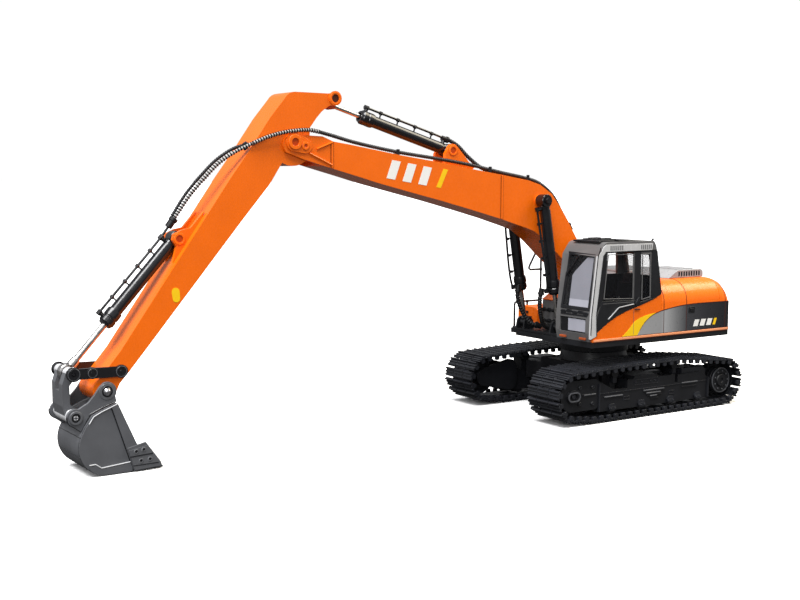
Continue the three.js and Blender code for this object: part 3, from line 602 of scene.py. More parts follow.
def shoe(pitch):
    """One track shoe and its chain links, drawn flat: (along, outward, across) about its centre."""
    half = pitch / 2
    edge = TRACK_HALF
    section = [
        (-half + 0.45, 1.9), (half + 0.2, 1.9), (half + 0.2, 2.9), (half - 0.7, 3.3), (half - 0.8, 4.4),
        (half - 1.9, 4.4), (half - 2.2, 3.3), (0.8, 3.3), (0.5, 4.5), (-0.7, 4.5), (-1.0, 3.3),
        (-half + 2.6, 3.3), (-half + 2.2, 5.25), (-half + 0.9, 5.25), (-half + 0.5, 3.6),
    ]
    flat = Shape()
    for low, high in ((-edge, -8.6), (-7.6, 7.6), (8.6, edge)):
        flat.prism(section, low, high)
    flat.prism([(-half + 1.2, 1.9), (half - 1.2, 1.9), (half - 1.2, 3.2), (-half + 1.2, 3.2)], -edge + 1,
               edge - 1)
    for across in (-12.5, -4.5, 4.5, 12.5):
        flat.lathe([(0, 0), (0, 0.85), (0.7, 0.75), (0.7, 0)], (across, 2.1, 3.2), (across, 2.1, 9), 6)
    for end in (-edge + 1.3, edge - 1.3):
        lug = [(-2.3, 2.4), (-2.3, -0.6), (-1.5, -1.6), (1.5, -1.6), (2.3, -0.6), (2.3, 2.4)]
        flat.prism(lug, end - 1.3, end + 1.3)
    for across in (-6.2, 6.2):
        flat.box(across - 1.4, across + 1.4, -half + 0.4, half - 0.4, 0.15, 2.2)
        flat.lathe([(0, 0), (0, 1.3), (3.6, 1.3), (3.6, 0)], (across - 1.8, half, 1.3),
                   (across + 9, half, 1.3), 10)
    return flat


def track_belt(side, sign):
    stations, pitch = even_stations(around(BELT_WHEELS, 0, 3), SHOES)
    pattern = shoe(pitch)
    belt = Shape()
    for k, here in enumerate(stations):
        ahead = stations[(k + 1) % SHOES] - stations[k - 1]
        along = ahead.normalized()
        outward = Vector((along.y, -along.x))
        points = []
        for across, forward, out in pattern.points:
            spot = here + along * forward + outward * out
            points.append(((TRACK_X + across) * sign, spot.x, spot.y))
        belt.add(points, pattern.faces)
    low, high = sorted((sign * (TRACK_X - 12), sign * (TRACK_X + 12)))
    belt.ring(around(BELT_WHEELS, 1.9, 3), around(BELT_WHEELS, 0.5, 3), low, high)
    piece(f"track_{side}", belt, TRACK, "undercarriage", [f"track_belt_{side}"], bevel=0.12)


def idler():
    wheel = Shape()
    profile = [(0, 0), (0, 3), (2.6, 3), (3, 8.4), (4, 9), (4.6, 14), (3.6, 15), (3.6, 18), (4, 18.3),
               (8, 18.3),
               (8.4, 18), (8.4, 16), (12.6, 16), (12.6, 18), (13, 18.3), (17, 18.3), (17.4, 18), (17.4, 15),
               (16.4, 14), (17, 9), (18, 8.4), (18.4, 3), (21, 3), (21, 0)]
    y, z = IDLER[:2]
    wheel.lathe(profile, (56.6, y, z), (90, y, z), 48)
    return wheel


def sprocket():
    y, z = SPROCKET[:2]
    teeth = SPROCKET_TEETH
    outline = []
    for i in range(teeth):
        for share, radius in ((0.0, 15.4), (0.28, 15.6), (0.42, 18.2), (0.68, 18.2), (0.82, 15.6)):
            turn = 2 * math.pi * (i + share) / teeth
            outline.append((y + radius * math.cos(turn), z + radius * math.sin(turn)))
    wheel = Shape().prism(outline, 65.4, 70.6)
    wheel.lathe([(0, 0), (0, 13), (0.5, 13.4), (14, 13.4), (14, 12.8), (17, 12.8), (17.6, 12), (20, 12),
                 (20.6, 11.4),
                 (20.6, 7.2), (20, 6.8), (21.6, 6.4), (22.2, 5.8), (22.2, 2.6), (21.2, 2.2), (21.2, 0)],
                (60, y, z), (90, y, z), 48)
    return wheel


def frame_details():
    """Ribs, flanges, bolts and roller brackets on the outer face of a track frame."""
    detail = Shape()
    for y in (-68.4, 80.6):
        detail.box(81.2, 83.2, y - 0.7, y + 0.7, 9.6, 36.5 if y < 0 else 30)
    for y0, y1, z0, z1 in ((-36.5, -28, 17.4, 21.2), (25.5, 33.5, 17.2, 21.2), (-22, 10, 30.5, 36)):
        outer = [(y0, z0), (y1, z0), (y1, z1), (y0, z1)]
        inner = [(y0 + 0.7, z0 + 0.7), (y1 - 0.7, z0 + 0.7), (y1 - 0.7, z1 - 0.7), (y0 + 0.7, z1 - 0.7)]
        detail.ring(outer, inner, 81.3, 82.0)
    detail.box(81.2, 82.1, -69, 81.4, 26.2, 26.9)
    for y in (-20, -12, 0, 6):
        detail.hex_bolt(81.4, (y, 33.2), 1.0, 0.9)
    for y in LOWER_ROLLERS:
        detail.prism(strap((y - 2.6, 11.2), 1.9, (y + 2.6, 11.2), 1.9), 82.8, 84.0)
        detail.prism([(y - 4.4, 12.6), (y + 4.4, 12.6), (y + 3.2, 15.8), (y - 3.2, 15.8)], 81.2, 83.2)
        for shift in (-2.6, 2.6):
            detail.hex_bolt(83.8, (y + shift, 11.2), 1.0, 0.9)
        detail.lathe([(0, 0), (0, 3.4), (0.6, 4.2), (9, 4.2), (9.6, 3.4), (9.6, 0)], (61, y, 10),
                     (80, y, 10), 20)
    for y, z in ((39, 44.4), (-42, 43.4)):
        detail.lathe([(0, 0), (0, 3.4), (0.6, 4.4), (13, 4.4), (13.6, 3.4), (15.6, 3.2), (15.6, 0)],
                     (60, y, z), (80, y, z), 24)
        detail.box(72.5, 75.5, y - 2.4, y + 2.4, 34, z + 0.6)
    y, z = IDLER[:2]
    outer = strap((y - 2.4, z), 4.6, (y + 3.6, z), 4.6)
    inner = strap((y - 2.4, z), 3.4, (y + 3.6, z), 3.4)
    # The rails (the idler strap ring and the thin rods along the frame) are drawn in a lighter grey as
    # painted edge highlights.
    rails = Shape().ring(outer, inner, 81.4, 84.4)
    detail.pin((y + 0.6, z), 2.2, 81.4, 83.4, 20)
    detail.prism([(46, 29), (80, 29), (80, 38), (76, 41), (46, 41)], 58, 79)
    detail.prism([(-34, 30), (30, 30), (30, 39), (-34, 39)], 52, 66)
    for y0, y1, z in ((-62, -38, 23), (43, 65, 27), (-10, 18, 24.4), (-6, 13, 21.4), (-1, 8, 18.4),
                      (-88, -73, 27.4)):
        rails.rod((82.3, y0, z), (82.3, y1, z), 0.8, 10)
    for spot in ((-92.8, 35), (-77, 34.4), (-93, 19.6), (-77, 18.6)):
        detail.bush(spot, 1.9, 1.1, 81.2, 83.0, 16)
        detail.hex_bolt(81.6, spot, 0.9, 1.1)
    return detail, rails


def build_undercarriage():
    for side, sign in SIDES:
        track_belt(side, sign)
        for name, shape, body in (("idler_wheel", idler(), "idler"),
                                  ("drive_sprocket", sprocket(), "sprocket")):
            piece(f"{name}_{side}", shape.on_side(sign), BLACK, f"{body}_{side}",
                  [f"{body}_{side}"], bevel=0.15)
        # The rails get the lighter grey of the painted edge highlights.
        for name, shape, material in zip(("detail", "rails"), frame_details(), (TRACK, EDGE_HIGHLIGHT_GREY)):
            piece(f"track_frame_{name}_{side}", shape.on_side(sign), material, "undercarriage",
                  bevel=0.12)
        # The rim ring and its bolt heads are drawn in the lighter grey of the painted edge highlights.
        rim = Shape().bush(SPROCKET[:2], 12.9, 11.9, 79.6, 81.2, 48)
        for i in range(9):
            rim.hex_bolt(80.9, arc(SPROCKET[:2], 9.4, i * 40, i * 40, 1)[0], 0.9, 1.0)
        piece(f"sprocket_rim_{side}", rim.on_side(sign), EDGE_HIGHLIGHT_GREY, f"sprocket_{side}",
              bevel=0.15)
        dress(f"track_frame_{side}", BLACK, 0.35)
        dress(f"travel_motor_{side}", BLACK, 0.5)
    dress("chassis", BLACK, 0.6)
    dress("slew_ring", BLACK, 0.4)


# ------------------------------------------------------------------ house
def body_half(y):
    """Half the body's width at a place along it, with its rounded rear corners."""
    past = max(0.0, y - (HOUSE_REAR - PLAN_ROUND))
    return HOUSE_X - PLAN_ROUND + math.sqrt(max(0.0, PLAN_ROUND ** 2 - past ** 2))


def body_top(y):
    past = max(0.0, y - (HOUSE_REAR - TAIL_ROUND))
    return HOUSE_TOP - TAIL_ROUND + math.sqrt(max(0.0, TAIL_ROUND ** 2 - past ** 2))


def body_section(y, low):
    half, top = body_half(y), body_top(y)
    radius = min(SHOULDER_ROUND, top - low - 2)
    right = arc((half - radius, top - radius), radius, 0, 90, 10)
    left = arc((radius - half, top - radius), radius, 90, 180, 10)
    return [(half, low), *right, *left, (-half, low)]


def loft(shape, sections, places):
    """A skin over outlines of [x, z] at rising y, closed at both ends."""
    n = len(sections[0])
    points = [(x, y, z) for section, y in zip(sections, places) for x, z in section]
    faces = [list(range(n)), list(range(len(points) - n, len(points)))[::-1]]
    for k in range(len(sections) - 1):
        a, b = k * n, (k + 1) * n
        faces += [[a + i, b + i, b + (i + 1) % n, a + (i + 1) % n] for i in range(n)]
    return shape.add(points, faces)


def body_stretch(y0, y1, steps, low=DECK_TOP + 0.3):
    places = [y0 + (y1 - y0) * i / steps for i in range(steps + 1)]
    return loft(Shape(), [body_section(y, low) for y in places], places)


def rear_stretch(y0, low=DECK_TOP + 0.3):
    """The counterweight, with places closer together where it turns in."""
    depth = HOUSE_REAR - 0.02 - y0
    places = [y0 + depth * math.sin(math.pi / 2 * i / 12) for i in range(13)]
    return loft(Shape(), [body_section(y, low) for y in places], places)


def between(points, y):
    """A smooth level through (y, z) points."""
    points = [(points[0][0] - 1, points[0][1]), *points, (points[-1][0] + 1, points[-1][1])]
    for (y0, z0), (y1, z1), (y2, z2), (y3, z3) in zip(points, points[1:], points[2:], points[3:]):
        if y <= y2 or (y2, z2) == points[-2]:
            t = min(1.0, max(0.0, (y - y1) / (y2 - y1)))
            m1 = (z2 - z0) / (y2 - y0) * (y2 - y1)
            m2 = (z3 - z1) / (y3 - y1) * (y2 - y1)
            return ((2 * t ** 3 - 3 * t ** 2 + 1) * z1 + (t ** 3 - 2 * t ** 2 + t) * m1
                    + (3 * t ** 2 - 2 * t ** 3) * z2 + (t ** 3 - t ** 2) * m2)
    return points[-1][1]


PRINT_TOP = [(-24, 78.8), (-18.4, 85.8), (-12.6, 92.0), (-1.6, 98.4), (14, 102.2), (46, 105.6),
             (108, 105.8)]
SWOOSH_TOP = [(-44.6, 78.8), (-35, 86), (-26.2, 93.8), (-13, 98.4), (1.8, 100.4)]
PRINT_LOW = 79.0


def side_patch(low, high, y0, y1, proud=0.14, steps=24):
    """A thin panel on the body side between two levels, following its rounded corner."""
    columns = [y0 + (y1 - y0) * i / steps for i in range(steps + 1)]
    points, faces = [], []
    for y in columns:
        x = body_half(y)
        bottom = low(y)
        top = max(high(y), bottom + 0.02)
        points += [(x - 0.4, y, bottom), (x + proud, y, bottom), (x + proud, y, top), (x - 0.4, y, top)]
    for k in range(steps):
        a, b = 4 * k, 4 * k + 4
        faces += [[a + i, a + (i + 1) % 4, b + (i + 1) % 4, b + i] for i in range(4)]
    last = 4 * steps
    faces += [[3, 2, 1, 0], [last, last + 1, last + 2, last + 3]]
    return Shape().add(points, faces)


def print_top(y):
    return between(PRINT_TOP, y)


def build_body():
    shell = body_stretch(RIGHT_FRONT, 92, 6)
    section = [p for p in body_section(30, DECK_TOP + 0.3) if p[0] > 0]
    section += [(RIGHT_EDGE, HOUSE_TOP), (RIGHT_EDGE, DECK_TOP + 0.3)]
    loft(shell, [section, section], [SHELL_FRONT, RIGHT_FRONT + 0.02])
    piece("body_shell", shell, ORANGE, "house", ["house_shell"], bevel=0.4)
    piece("counterweight_shell", rear_stretch(92.3), ORANGE, "house", ["counterweight"],
          bevel=0.4)
    dress("cab_skirt", ORANGE, 0.5)
    dress("toolbox", ORANGE, 0.8)
    dress("house_deck", BLACK, 0.8)

    def flat(level):
        return lambda y: level

    patch = side_patch(flat(PRINT_LOW), print_top, -24, 43.9, steps=40)
    dark = side_patch(flat(PRINT_LOW), print_top, 44.3, 108, steps=60)
    swoosh = side_patch(lambda y: print_top(y) if y > -24 else PRINT_LOW,
                        lambda y: between(SWOOSH_TOP, y), -44.6, 1.2, 0.18, 40)
    piece("silver_panel_left", patch, PATCH, "house")
    piece("dark_panel_left", dark, DARK_PANEL, "house")
    piece("yellow_swoosh", swoosh, YELLOW, "house")
    far = side_patch(flat(PRINT_LOW), print_top, 22, 108, steps=60).mirrored()
    piece("dark_panel_right", far, DARK_PANEL, "house")

    seams = Shape()
    for y, past in ((12.6, RIGHT_EDGE), (44.1, -100), (100.4, -100)):
        seams.join(section_band(y, 0.7, DECK_TOP + 0.4, 0.16, past))
    for low, high, start in ((print_top, lambda y: print_top(y) + 0.7, -20), (flat(79.4), flat(80.0), -44),
                             (flat(DECK_TOP), flat(DECK_TOP + 0.7), -79.5)):
        seams.join(side_patch(low, high, start, 108, 0.6 if start < -70 else 0.24, 60))
    piece("body_seams", seams, SEAM, "house")
    # The lower bead is a paler orange than the body, a painted highlight.
    bead = side_patch(flat(DECK_TOP + 0.7), flat(79.4), -79.5, 109, 0.55, 90)
    bead.join(side_patch(flat(DECK_TOP + 0.7), flat(79.4), 22, 109, 0.55, 60).mirrored())
    piece("body_lower_bead", bead, ORANGE_PAINTED_HIGHLIGHT, "house", bevel=0.3)
    build_side_marks()


def build_side_marks():
    """Plain bars where the machine carries lettering, and the small lock on the side door."""
    bars, accent = Shape(), Shape()
    for i in range(4):
        y = 54 + i * 9.4
        shape = accent if i == 3 else bars
        width = 3.4 if i == 3 else 6.2
        shape.prism([(y, 83.6), (y + width, 83.4), (y + width + 2.6, 90), (y + 2.6, 90.2)], 84.9, 85.14)
    piece("side_bars_white", bars.with_mirror(), WHITE, "house")
    piece("side_bar_yellow", accent.with_mirror(), YELLOW, "house")
    lock = Shape().prism([(47, 97.4), (55.6, 97.4), (55.6, 103.2), (47, 103.2)], 84.9, 85.3)
    lock.prism([(49, 99), (53.6, 99), (53.6, 101.8), (49, 101.8)], 85.2, 85.8)
    piece("side_door_lock", lock, SATIN, "house", bevel=0.15)


def section_band(y, width, low, proud=0.1, past=-100):
    """A thin dark line over the body at one place along it, for x past a limit."""
    section = [p for p in body_section(y, low) if p[0] > past]
    outer = [(x + math.copysign(proud, x), z + (proud if z > 109 else 0)) for x, z in section]
    inner = [(x * 0.99, z - 0.4 if z > 109 else z) for x, z in section]
    outline = outer + inner[::-1]
    n = len(outer)
    points = [(x, place, z) for place in (y - width / 2, y + width / 2) for x, z in outline]
    m = len(outline)
    faces = []
    for i in range(n - 1):
        a, b, c, d = i, i + 1, m - 2 - i, m - 1 - i
        faces += [[a, b, c, d], [m + d, m + c, m + b, m + a]]
        faces += [[a, m + a, m + b, b], [d, c, m + c, m + d]]
    faces += [[0, m - 1, 2 * m - 1, m], [n - 1, n - 1 + m, n + m, n]]
    return Shape().add(points, faces)


def louvres(x0, x1, y0, y1, z, count, lift=0.8):
    """A row of small raised slats on a flat top."""
    slats = Shape()
    step = (y1 - y0) / count
    for i in range(count):
        start = y0 + i * step
        slats.prism([(start, z), (start + step * 0.62, z), (start + step * 0.5, z + lift),
                     (start + 0.1, z + lift)],
                    x0, x1)
    return slats


def build_hoods():
    dress("engine_hood", SILVER, 0.9)
    dress("rear_hood", SILVER, 1.0)
    grille = Shape()
    for i in range(9):
        y = 57 + i * 3.6
        grille.box(61.2, 62.2, y - 0.7, y + 0.7, 131.8, 136.2)
    piece("hood_vent_gaps", grille, SATIN, "house", bevel=0.1)
    top = louvres(18, 54, 60, 86, 138, 8)
    piece("hood_top_louvres", top, SILVER, "house", bevel=0.15)
    lines = Shape().box(-54, 8, 28, 29, 134.7, 135.5).box(-54, 8, 86, 87, 134.6, 135.4)
    lines.join(louvres(-46, 0, 40, 74, 134.7, 9, 0.7))
    piece("rear_hood_louvres", lines, SILVER, "house", bevel=0.15)
    pipe = Shape().lathe([(0, 0), (0, 3.4), (7, 3.4), (7, 2.6), (1, 2.6), (1, 0)], (-20, 30, 134),
                         (-20, 30, 150), 24)
    piece("exhaust", pipe, BLACK, "house", bevel=0.15)


# ------------------------------------------------------------------ cab
def build_cab():
    dress("cab_frame", CAB_GREY, 0.6)
    dress("seat", BLACK, 1.2)
    for node in ("windscreen", "door_window", "rear_window"):
        dress(node, GLASS, 0.1)
    side = Shape()
    skin = (84.5, 85.3)
    sill = [(-78.5, 84), (-73, 88), (-61, 95), (-49, 100.6), (-35, 105.2), (-21, 108.6), (-10, 111.6),
            (1.2, 115.2),
            (8.4, 118.8)]
    side.prism([*sill[:6], (-21, 114.2), (-28, 114), (-69.5, 115.4), (-74.5, 104)], *skin)
    side.prism([sill[5], sill[6], sill[7], (-5, 114.4), (-20, 112), (-21, 114)], *skin)
    side.prism([(-28, 113.9), (-20.2, 113.9), (-20.2, 161), (-28, 161)], *skin)
    side.prism([(-5.2, 114.2), (1.2, 115.2), (8.4, 118.8), (8.2, 121), (1.6, 160.8), (-6, 160.8)], *skin)
    side.prism([(-66, 160.2), (1, 160.2), (0.6, 162), (-66, 162)], *skin)
    side.prism([(-76.4, 104), (-69.4, 115.4), (-63.8, 160.2), (-66.4, 162), (-68.6, 160.4), (-75, 112)],
               *skin)
    piece("cab_side_frame", side, BLACK, "house", bevel=0.3)


def build_cab_windows():
    """Window trims, the side pane and the dark edge lines."""
    window = Shape()
    for outline in ([(-68, 117), (-29.6, 115.6), (-29.6, 158.6), (-63.4, 159)],
                    [(-18.6, 114), (-6.6, 116), (-7.4, 158.4), (-18.6, 158.6)]):
        middle = [sum(p[k] for p in outline) / 4 for k in (0, 1)]
        inner = [(y + math.copysign(0.7, middle[0] - y), z + math.copysign(0.7, middle[1] - z)) for y,
                 z in outline]
        window.ring(outline, inner, 84.6, 85.5)
    piece("cab_window_trim", window, CAB_GREY, "house", bevel=0.15)
    pane = Shape().prism([(-19, 113), (-6, 115), (-7, 158.6), (-19, 158.8)], 82.8, 83.6)
    piece("cab_side_pane", pane, GLASS, "house")
    edge = Shape()
    rear_line = [(85.6, -76.4, 83), (85.6, -77, 104), (85.6, -69.4, 158), (85.6, -65.8, 161.4)]
    front_line = [(85.3, -83.5, 84), (85.3, -82.7, 103), (85.3, -76, 157.6), (85.0, -72.6, 165.6)]
    for line in (rear_line, front_line):
        edge.sweep(line, [0.42] * len(line), 8)
    edge.rod((85.5, -65.8, 161.4), (85.5, -5.6, 161.4), 0.42, 8)
    piece("cab_edge_lines", edge, SATIN, "house")


def build_cab_pillar():
    """The silver pillar, roof edge and its ribs."""
    pillar = Shape()
    pillar.prism([(-83.6, 80), (-76.6, 82.6), (-77.2, 104), (-69.6, 158), (-66, 162.4), (-66, 167.8),
                  *arc((-63.6, 160.4), 8, 110, 165, 4), (-76.2, 157.6), (-82.8, 103), (-83.6, 88)], 82.6,
                  85.5)
    pillar.prism([(-66.4, 161.6), (-6, 161.6), (-5, 168), (-66.4, 168.2)], 82.2, 85.6)
    # The pillar and roof edge use the lighter silver, a painted highlight.
    piece("cab_silver_pillar", pillar, PILLAR_PAINTED_HIGHLIGHT, "house", bevel=0.9)
    ribs = Shape()
    for i in range(22):
        y = -61 + i * 2.5
        if not -44 < y < -22:
            ribs.box(85.3, 85.75, y, y + 1.2, 162.6, 167)
    piece("cab_roof_ribs", ribs, CAB_GREY, "house", bevel=0.08)


def build_cab_door():
    """The grab rail, handle and seams of the moulded door."""
    door = Shape()
    door.rod((85.9, -62, 98), (85.9, -49, 108.2), 0.6, 10)
    door.rod((85.9, -49, 108.2), (85.9, -29.4, 110.6), 0.6, 10)
    door.rod((85.4, -62, 98), (85.9, -62, 98), 0.6, 10)
    piece("door_grab_rail", door, SILVER, "house")
    handle = Shape().prism(strap((-26.5, 110.8), 1.6, (-23, 115.4), 1.5), 85.2, 87.0)
    handle.box(85.1, 86.1, -27.6, -20.8, 104.8, 105.8)
    piece("door_handle", handle, BLACK, "house", bevel=0.3)
    lines = Shape().box(85.2, 85.4, -69, -28.6, 112.4, 112.9).box(84.9, 85.0, -28.4, -28.0, 81, 106)
    piece("door_seams", lines, CAB_GREY, "house")


def leaning(z):
    """The windscreen's outer face at a height."""
    return -82.2 + (z - 108) * 0.1415


def front_panel(outline, depth=0.8, proud=0.0):
    """A thin panel on the leaning cab front from an [x, z] outline."""
    n = len(outline)
    near = [(x, leaning(z) - proud, z) for x, z in outline]
    far = [(x, leaning(z) - proud + depth, z) for x, z in outline]
    walls = [[i, (i + 1) % n, n + (i + 1) % n, n + i] for i in range(n)]
    return Shape().add(near + far, [list(range(n))[::-1], list(range(n, 2 * n)), *walls])


def build_cab_front():
    film = front_panel([(52, 109.4), (79.4, 109.4), (79.4, 156), (70, 156), (55, 142), (52, 138)], 0.5,
                       -0.35)
    piece("windscreen_film", film, PALE_GLASS, "house")
    trim = Shape()
    outer = [(41.4, 106.4), (81.6, 106.4), (81.6, 159.2), (43.4, 160.4)]
    inner = [(44.6, 109.2), (79.2, 109.2), (79.2, 156.4), (46.4, 157.2)]
    near = [(x, leaning(z) - 0.5, z) for x, z in outer] + [(x, leaning(z) - 0.5, z) for x, z in inner]
    far = [(x, leaning(z) + 0.9, z) for x, z in outer] + [(x, leaning(z) + 0.9, z) for x, z in inner]
    faces = []
    for i in range(4):
        j = (i + 1) % 4
        faces += [[i, j, 4 + j, 4 + i], [8 + i, 12 + i, 12 + j, 8 + j], [i, 8 + i, 8 + j, j],
                  [4 + i, 4 + j, 12 + j, 12 + i]]
    trim.add(near + far, faces)
    piece("windscreen_trim", trim, BLACK, "house", bevel=0.4)
    low = Shape().prism([(41.4, 84.9), (76.6, 84.9), (76.6, 98.1), (41.4, 98.1)], -81.8, -80.8, "front")
    piece("lower_window_back", low, SATIN, "house", bevel=0.1)
    pale = Shape().prism([(52, 85.8), (75.8, 85.8), (75.8, 97.4), (52, 97.4)], -82.1, -81.6, "front")
    piece("lower_window_film", pale, PALE_GLASS, "house", bevel=0.1)
    lamps = Shape()
    for x in (46.5, 74):
        lamps.prism([(x - 4.4, 78.6), (x + 4.4, 78.6), (x + 4.4, 80.8), (x - 4.4, 80.8)], -84.4, -82.8,
                    "front")
    piece("cab_front_lamps", lamps, AMBER, "house", bevel=0.4)
    wiper = Shape()
    ends = ((47, 140), (60, 157))
    a, b = [(x, leaning(z) - 1.3, z) for x, z in ends]
    wiper.rod(a, b, 0.55, 8)
    a, b = [(x, leaning(z) - 1.0, z) for x, z in ((44.5, 137), (57, 153))]
    wiper.rod(a, b, 0.4, 8)
    wiper.rod((60, leaning(157) - 1.3, 157), (60, leaning(157) + 0.6, 157), 0.9, 10)
    piece("wiper", wiper, SATIN, "house")
    sill = Shape()
    for i, x in enumerate((46, 54, 62, 70, 77)):
        z = 103.6 + (i % 2) * 0.8
        sill.prism(strap((x - 2.4, z), 1.4, (x + 2.4, z), 1.4), -83.4, -81.4, "front")
    sill.prism([(42, 100.6), (79, 100.6), (79, 102.0), (42, 102.0)], -83.2, -81.8, "front")
    piece("cab_front_step", sill, BLACK, "house", bevel=0.3)


def build_cab_roof():
    vents = Shape()
    for x0, x1 in ((50, 58), (64, 72)):
        for i in range(5):
            vents.box(x0 + 0.8, x1 - 0.8, -58 + i * 2.6, -56.8 + i * 2.6, 172.6, 173.6)
    vents.box(43, 79, -69.5, -66.5, 169.8, 171.4)
    vents.box(44, 78, -66, -38, 169.8, 171.8)
    for x0, x1 in ((48, 59), (63, 74)):
        vents.box(x0, x1, -62, -43, 171.6, 172.8)
    piece("roof_vents", vents, BLACK, "house", ["roof_hatch"], bevel=0.3)
    rim = Shape().prism([(-48, 171.0), (0.8, 168.6), (0.8, 169.7), (-48, 172.4)], 40, 82)
    piece("roof_panel", rim, SATIN, "house", bevel=0.35)
    mast = Shape().rod((79, -5, 166), (79.6, 1.2, 172), 1.0, 12)
    piece("roof_stubs", mast, BLACK, "house")


def build_cab_inside():
    console = Shape()
    for x in (45, 77):
        console.prism([(-40, 80.5), (-18, 80.5), (-20, 100), (-38, 103)], x - 3, x + 3)
        console.rod((x, -36, 102), (x, -40, 114), 0.8, 10)
        console.lathe([(0, 0), (0, 1.3), (2, 1.9), (4.4, 1.2), (4.8, 0)], (x, -40, 113), (x, -41.4, 118),
                      14)
    console.prism([(-74, 80.5), (-68, 80.5), (-66, 100), (-71, 104)], 46, 76)
    for x in (56, 66):
        console.rod((x, -62, 81), (x, -64, 98), 0.7, 10)
    console.prism([(-74, 80.5), (-34, 80.5), (-34, 158), (-68, 158)], 38.4, 39.4)
    console.box(38.4, 39.4, -34.2, 3, 80.5, 136)
    console.box(38.4, 81, 3, 4, 80.5, 136)
    piece("cab_controls", console, SATIN, "house", bevel=0.3)


# ------------------------------------------------------------------ deck fittings
def build_fittings():
    for node, material, bevel in (
        ("side_step", BLACK, 0.5), ("boom_bracket", BLACK, 0.5), ("valve_cover", CAB_GREY, 0.9),
        ("battery_pack", CELL_WRAP, 1.5), ("control_board", BOARD, 0.2), ("slew_motor", STEEL, 0.4),
    ):
        dress(node, material, bevel)
    x, rail = -83.2, 1.15
    rails = Shape()
    post = [(x, -37.5, 71.3), (x, -37.5, 95.6), (x, -36.6, 97.6), (x, -34.4, 98.4), (x, -1.6, 98.4)]
    rails.sweep(post, [rail] * len(post), 14)
    rails.rod((x, -1.5, 71.3), (x, -1.5, 163.6), rail, 14)
    rails.rod((x, -20, 71.3), (x, -20, 98.4), rail, 14)
    hoop = [(x, -1.5, 132), (x, -16, 132), (x, -18.3, 133.4), (x, -17.6, 136), (x, -1.5, 162.8)]
    rails.sweep(hoop, [rail] * len(hoop), 14)
    for y in (-37.5, -20, -1.5):
        rails.lathe([(0, 0), (0, 2.1), (1, 2.1), (1, 0)], (x, y, 71.1), (x, y, 80), 16)
    for y, z in ((-1.5, 98.4), (-20, 98.4), (-1.5, 132)):
        rails.lathe([(0, 0), (0, 1.6), (2.6, 1.6), (2.6, 0)], (x, y, z - 1.3), (x, y, z + 9), 16)
    piece("handrail_tubes", rails, BLACK, "house", ["handrail"])
    box = Shape().box(-74, -58, -34.9, -34.1, 84, 85).box(-68, -64, -35.6, -34.2, 88, 90.4)
    for z in (74.5, 77.5, 80.5):
        box.box(-76, -56, -34.8, -34.2, z, z + 1.1)
    piece("toolbox_trim", box, BLACK, "house", bevel=0.2)
    tread = Shape()
    for i in range(7):
        tread.box(-82, -52, -39.4 + i * 0.8, -39.0 + i * 0.8, 71.0, 71.7)
    piece("step_tread", tread, BLACK, "house")
    valve = Shape().prism([(-60.4, 108.4), (-44, 118.4), (-44.4, 119.4), (-60.8, 109.4)], -11, 11)
    piece("valve_cover_lid", valve, ORANGE, "house", bevel=0.3)
    fittings = Shape()
    for x in (-8, 0, 8):
        for z in (88, 99):
            fittings.lathe([(0, 0), (0, 2.2), (2, 2.2), (2, 1.6), (5, 1.6), (5, 0)], (x, -60, z),
                           (x, -70, z), 6)
    piece("valve_fittings", fittings, BLACK, "house", bevel=0.15)
    foot = Shape().pin(BOOM_FOOT, 4, -23.8, 23.8)
    for sign in (1, -1):
        foot.hex_bolt(sign * 23.4, BOOM_FOOT, 2.6, 1.2, sign)
    piece("foot_pin", foot, STEEL, "house", ["boom_foot_pin"])
    end = Shape()
    for sign in (1, -1):
        end.pin(BOOM_RAM_END, 2, sign * 26 - 7, sign * 26 + 7, 20)
        end.hex_bolt(sign * 32.6, BOOM_RAM_END, 2.6, 1.4, sign)
    piece("boom_ram_foot_pins", end, STEEL, "house")


# ------------------------------------------------------------------ rams
def along(a, b, distance, aside=0.0, x=0.0):
    """A point a distance from a towards b, and aside of that line, in the side view."""
    length = math.hypot(b[0] - a[0], b[1] - a[1])
    u, v = (b[0] - a[0]) / length, (b[1] - a[1]) / length
    return (x, a[0] + u * distance - v * aside, a[1] + v * distance + u * aside)


def ram_barrel(x, base, end, length, radius, aside, hose_end=None, at_base=True):
    """A ram's tube with its gland, base eye, hard pipe, clamps and elbows."""
    body = Shape()
    start, far = (x, *base), (x, *end)
    body.lathe([(4, 0), (4, radius - 0.8), (5, radius), (7, radius), (7, radius - 0.5), (9, radius - 0.5),
                (9, radius), (length - 14, radius), (length - 14, radius + 0.9),
                (length - 12.5, radius + 1.2),
                (length - 8, radius + 1.2), (length - 7.4, radius + 0.7), (length - 6.6, radius + 0.7),
                (length - 6, radius + 1.2), (length - 2.4, radius + 1.2), (length - 1.6, radius + 0.4),
                (length, radius - 0.2), (length, 3.2), (length - 6, 3.2), (length - 6, 0)], start, far, 36)
    body.bush(base, 6.1, 3.2, x - 5.4, x + 5.4)
    pipe_out = aside * (radius + 4.4)
    route = [along(base, end, 7, pipe_out, x), along(base, end, length - 5, pipe_out, x)]
    if hose_end:
        route = [hose_end, *route] if at_base else [*route, hose_end]
    body.sweep(smooth_route(route, 3) if hose_end else route, [1.1] * 400, 10)
    for k in range(4):
        spot = 20 + k * (length - 42) / 3
        body.lathe([(0, 0), (0, 1.9), (2.4, 1.9), (2.4, 0)], along(base, end, spot, pipe_out, x),
                   along(base, end, spot + 3, pipe_out, x), 6)
        body.rod(along(base, end, spot + 1.2, aside * (radius - 1), x),
                 along(base, end, spot + 1.2, pipe_out, x), 0.7, 8)
    for spot in (7, length - 5):
        body.lathe([(0, 0), (0, 1.9), (6, 1.9), (6, 0)], along(base, end, spot, aside * (radius - 1), x),
                   along(base, end, spot, aside * (radius + 7), x), 6)
        body.lathe([(-2, 0), (-2, 2.2), (2, 2.2), (2, 0)], along(base, end, spot, pipe_out, x),
                   along(base, end, spot + 4, pipe_out, x), 6)
    return body


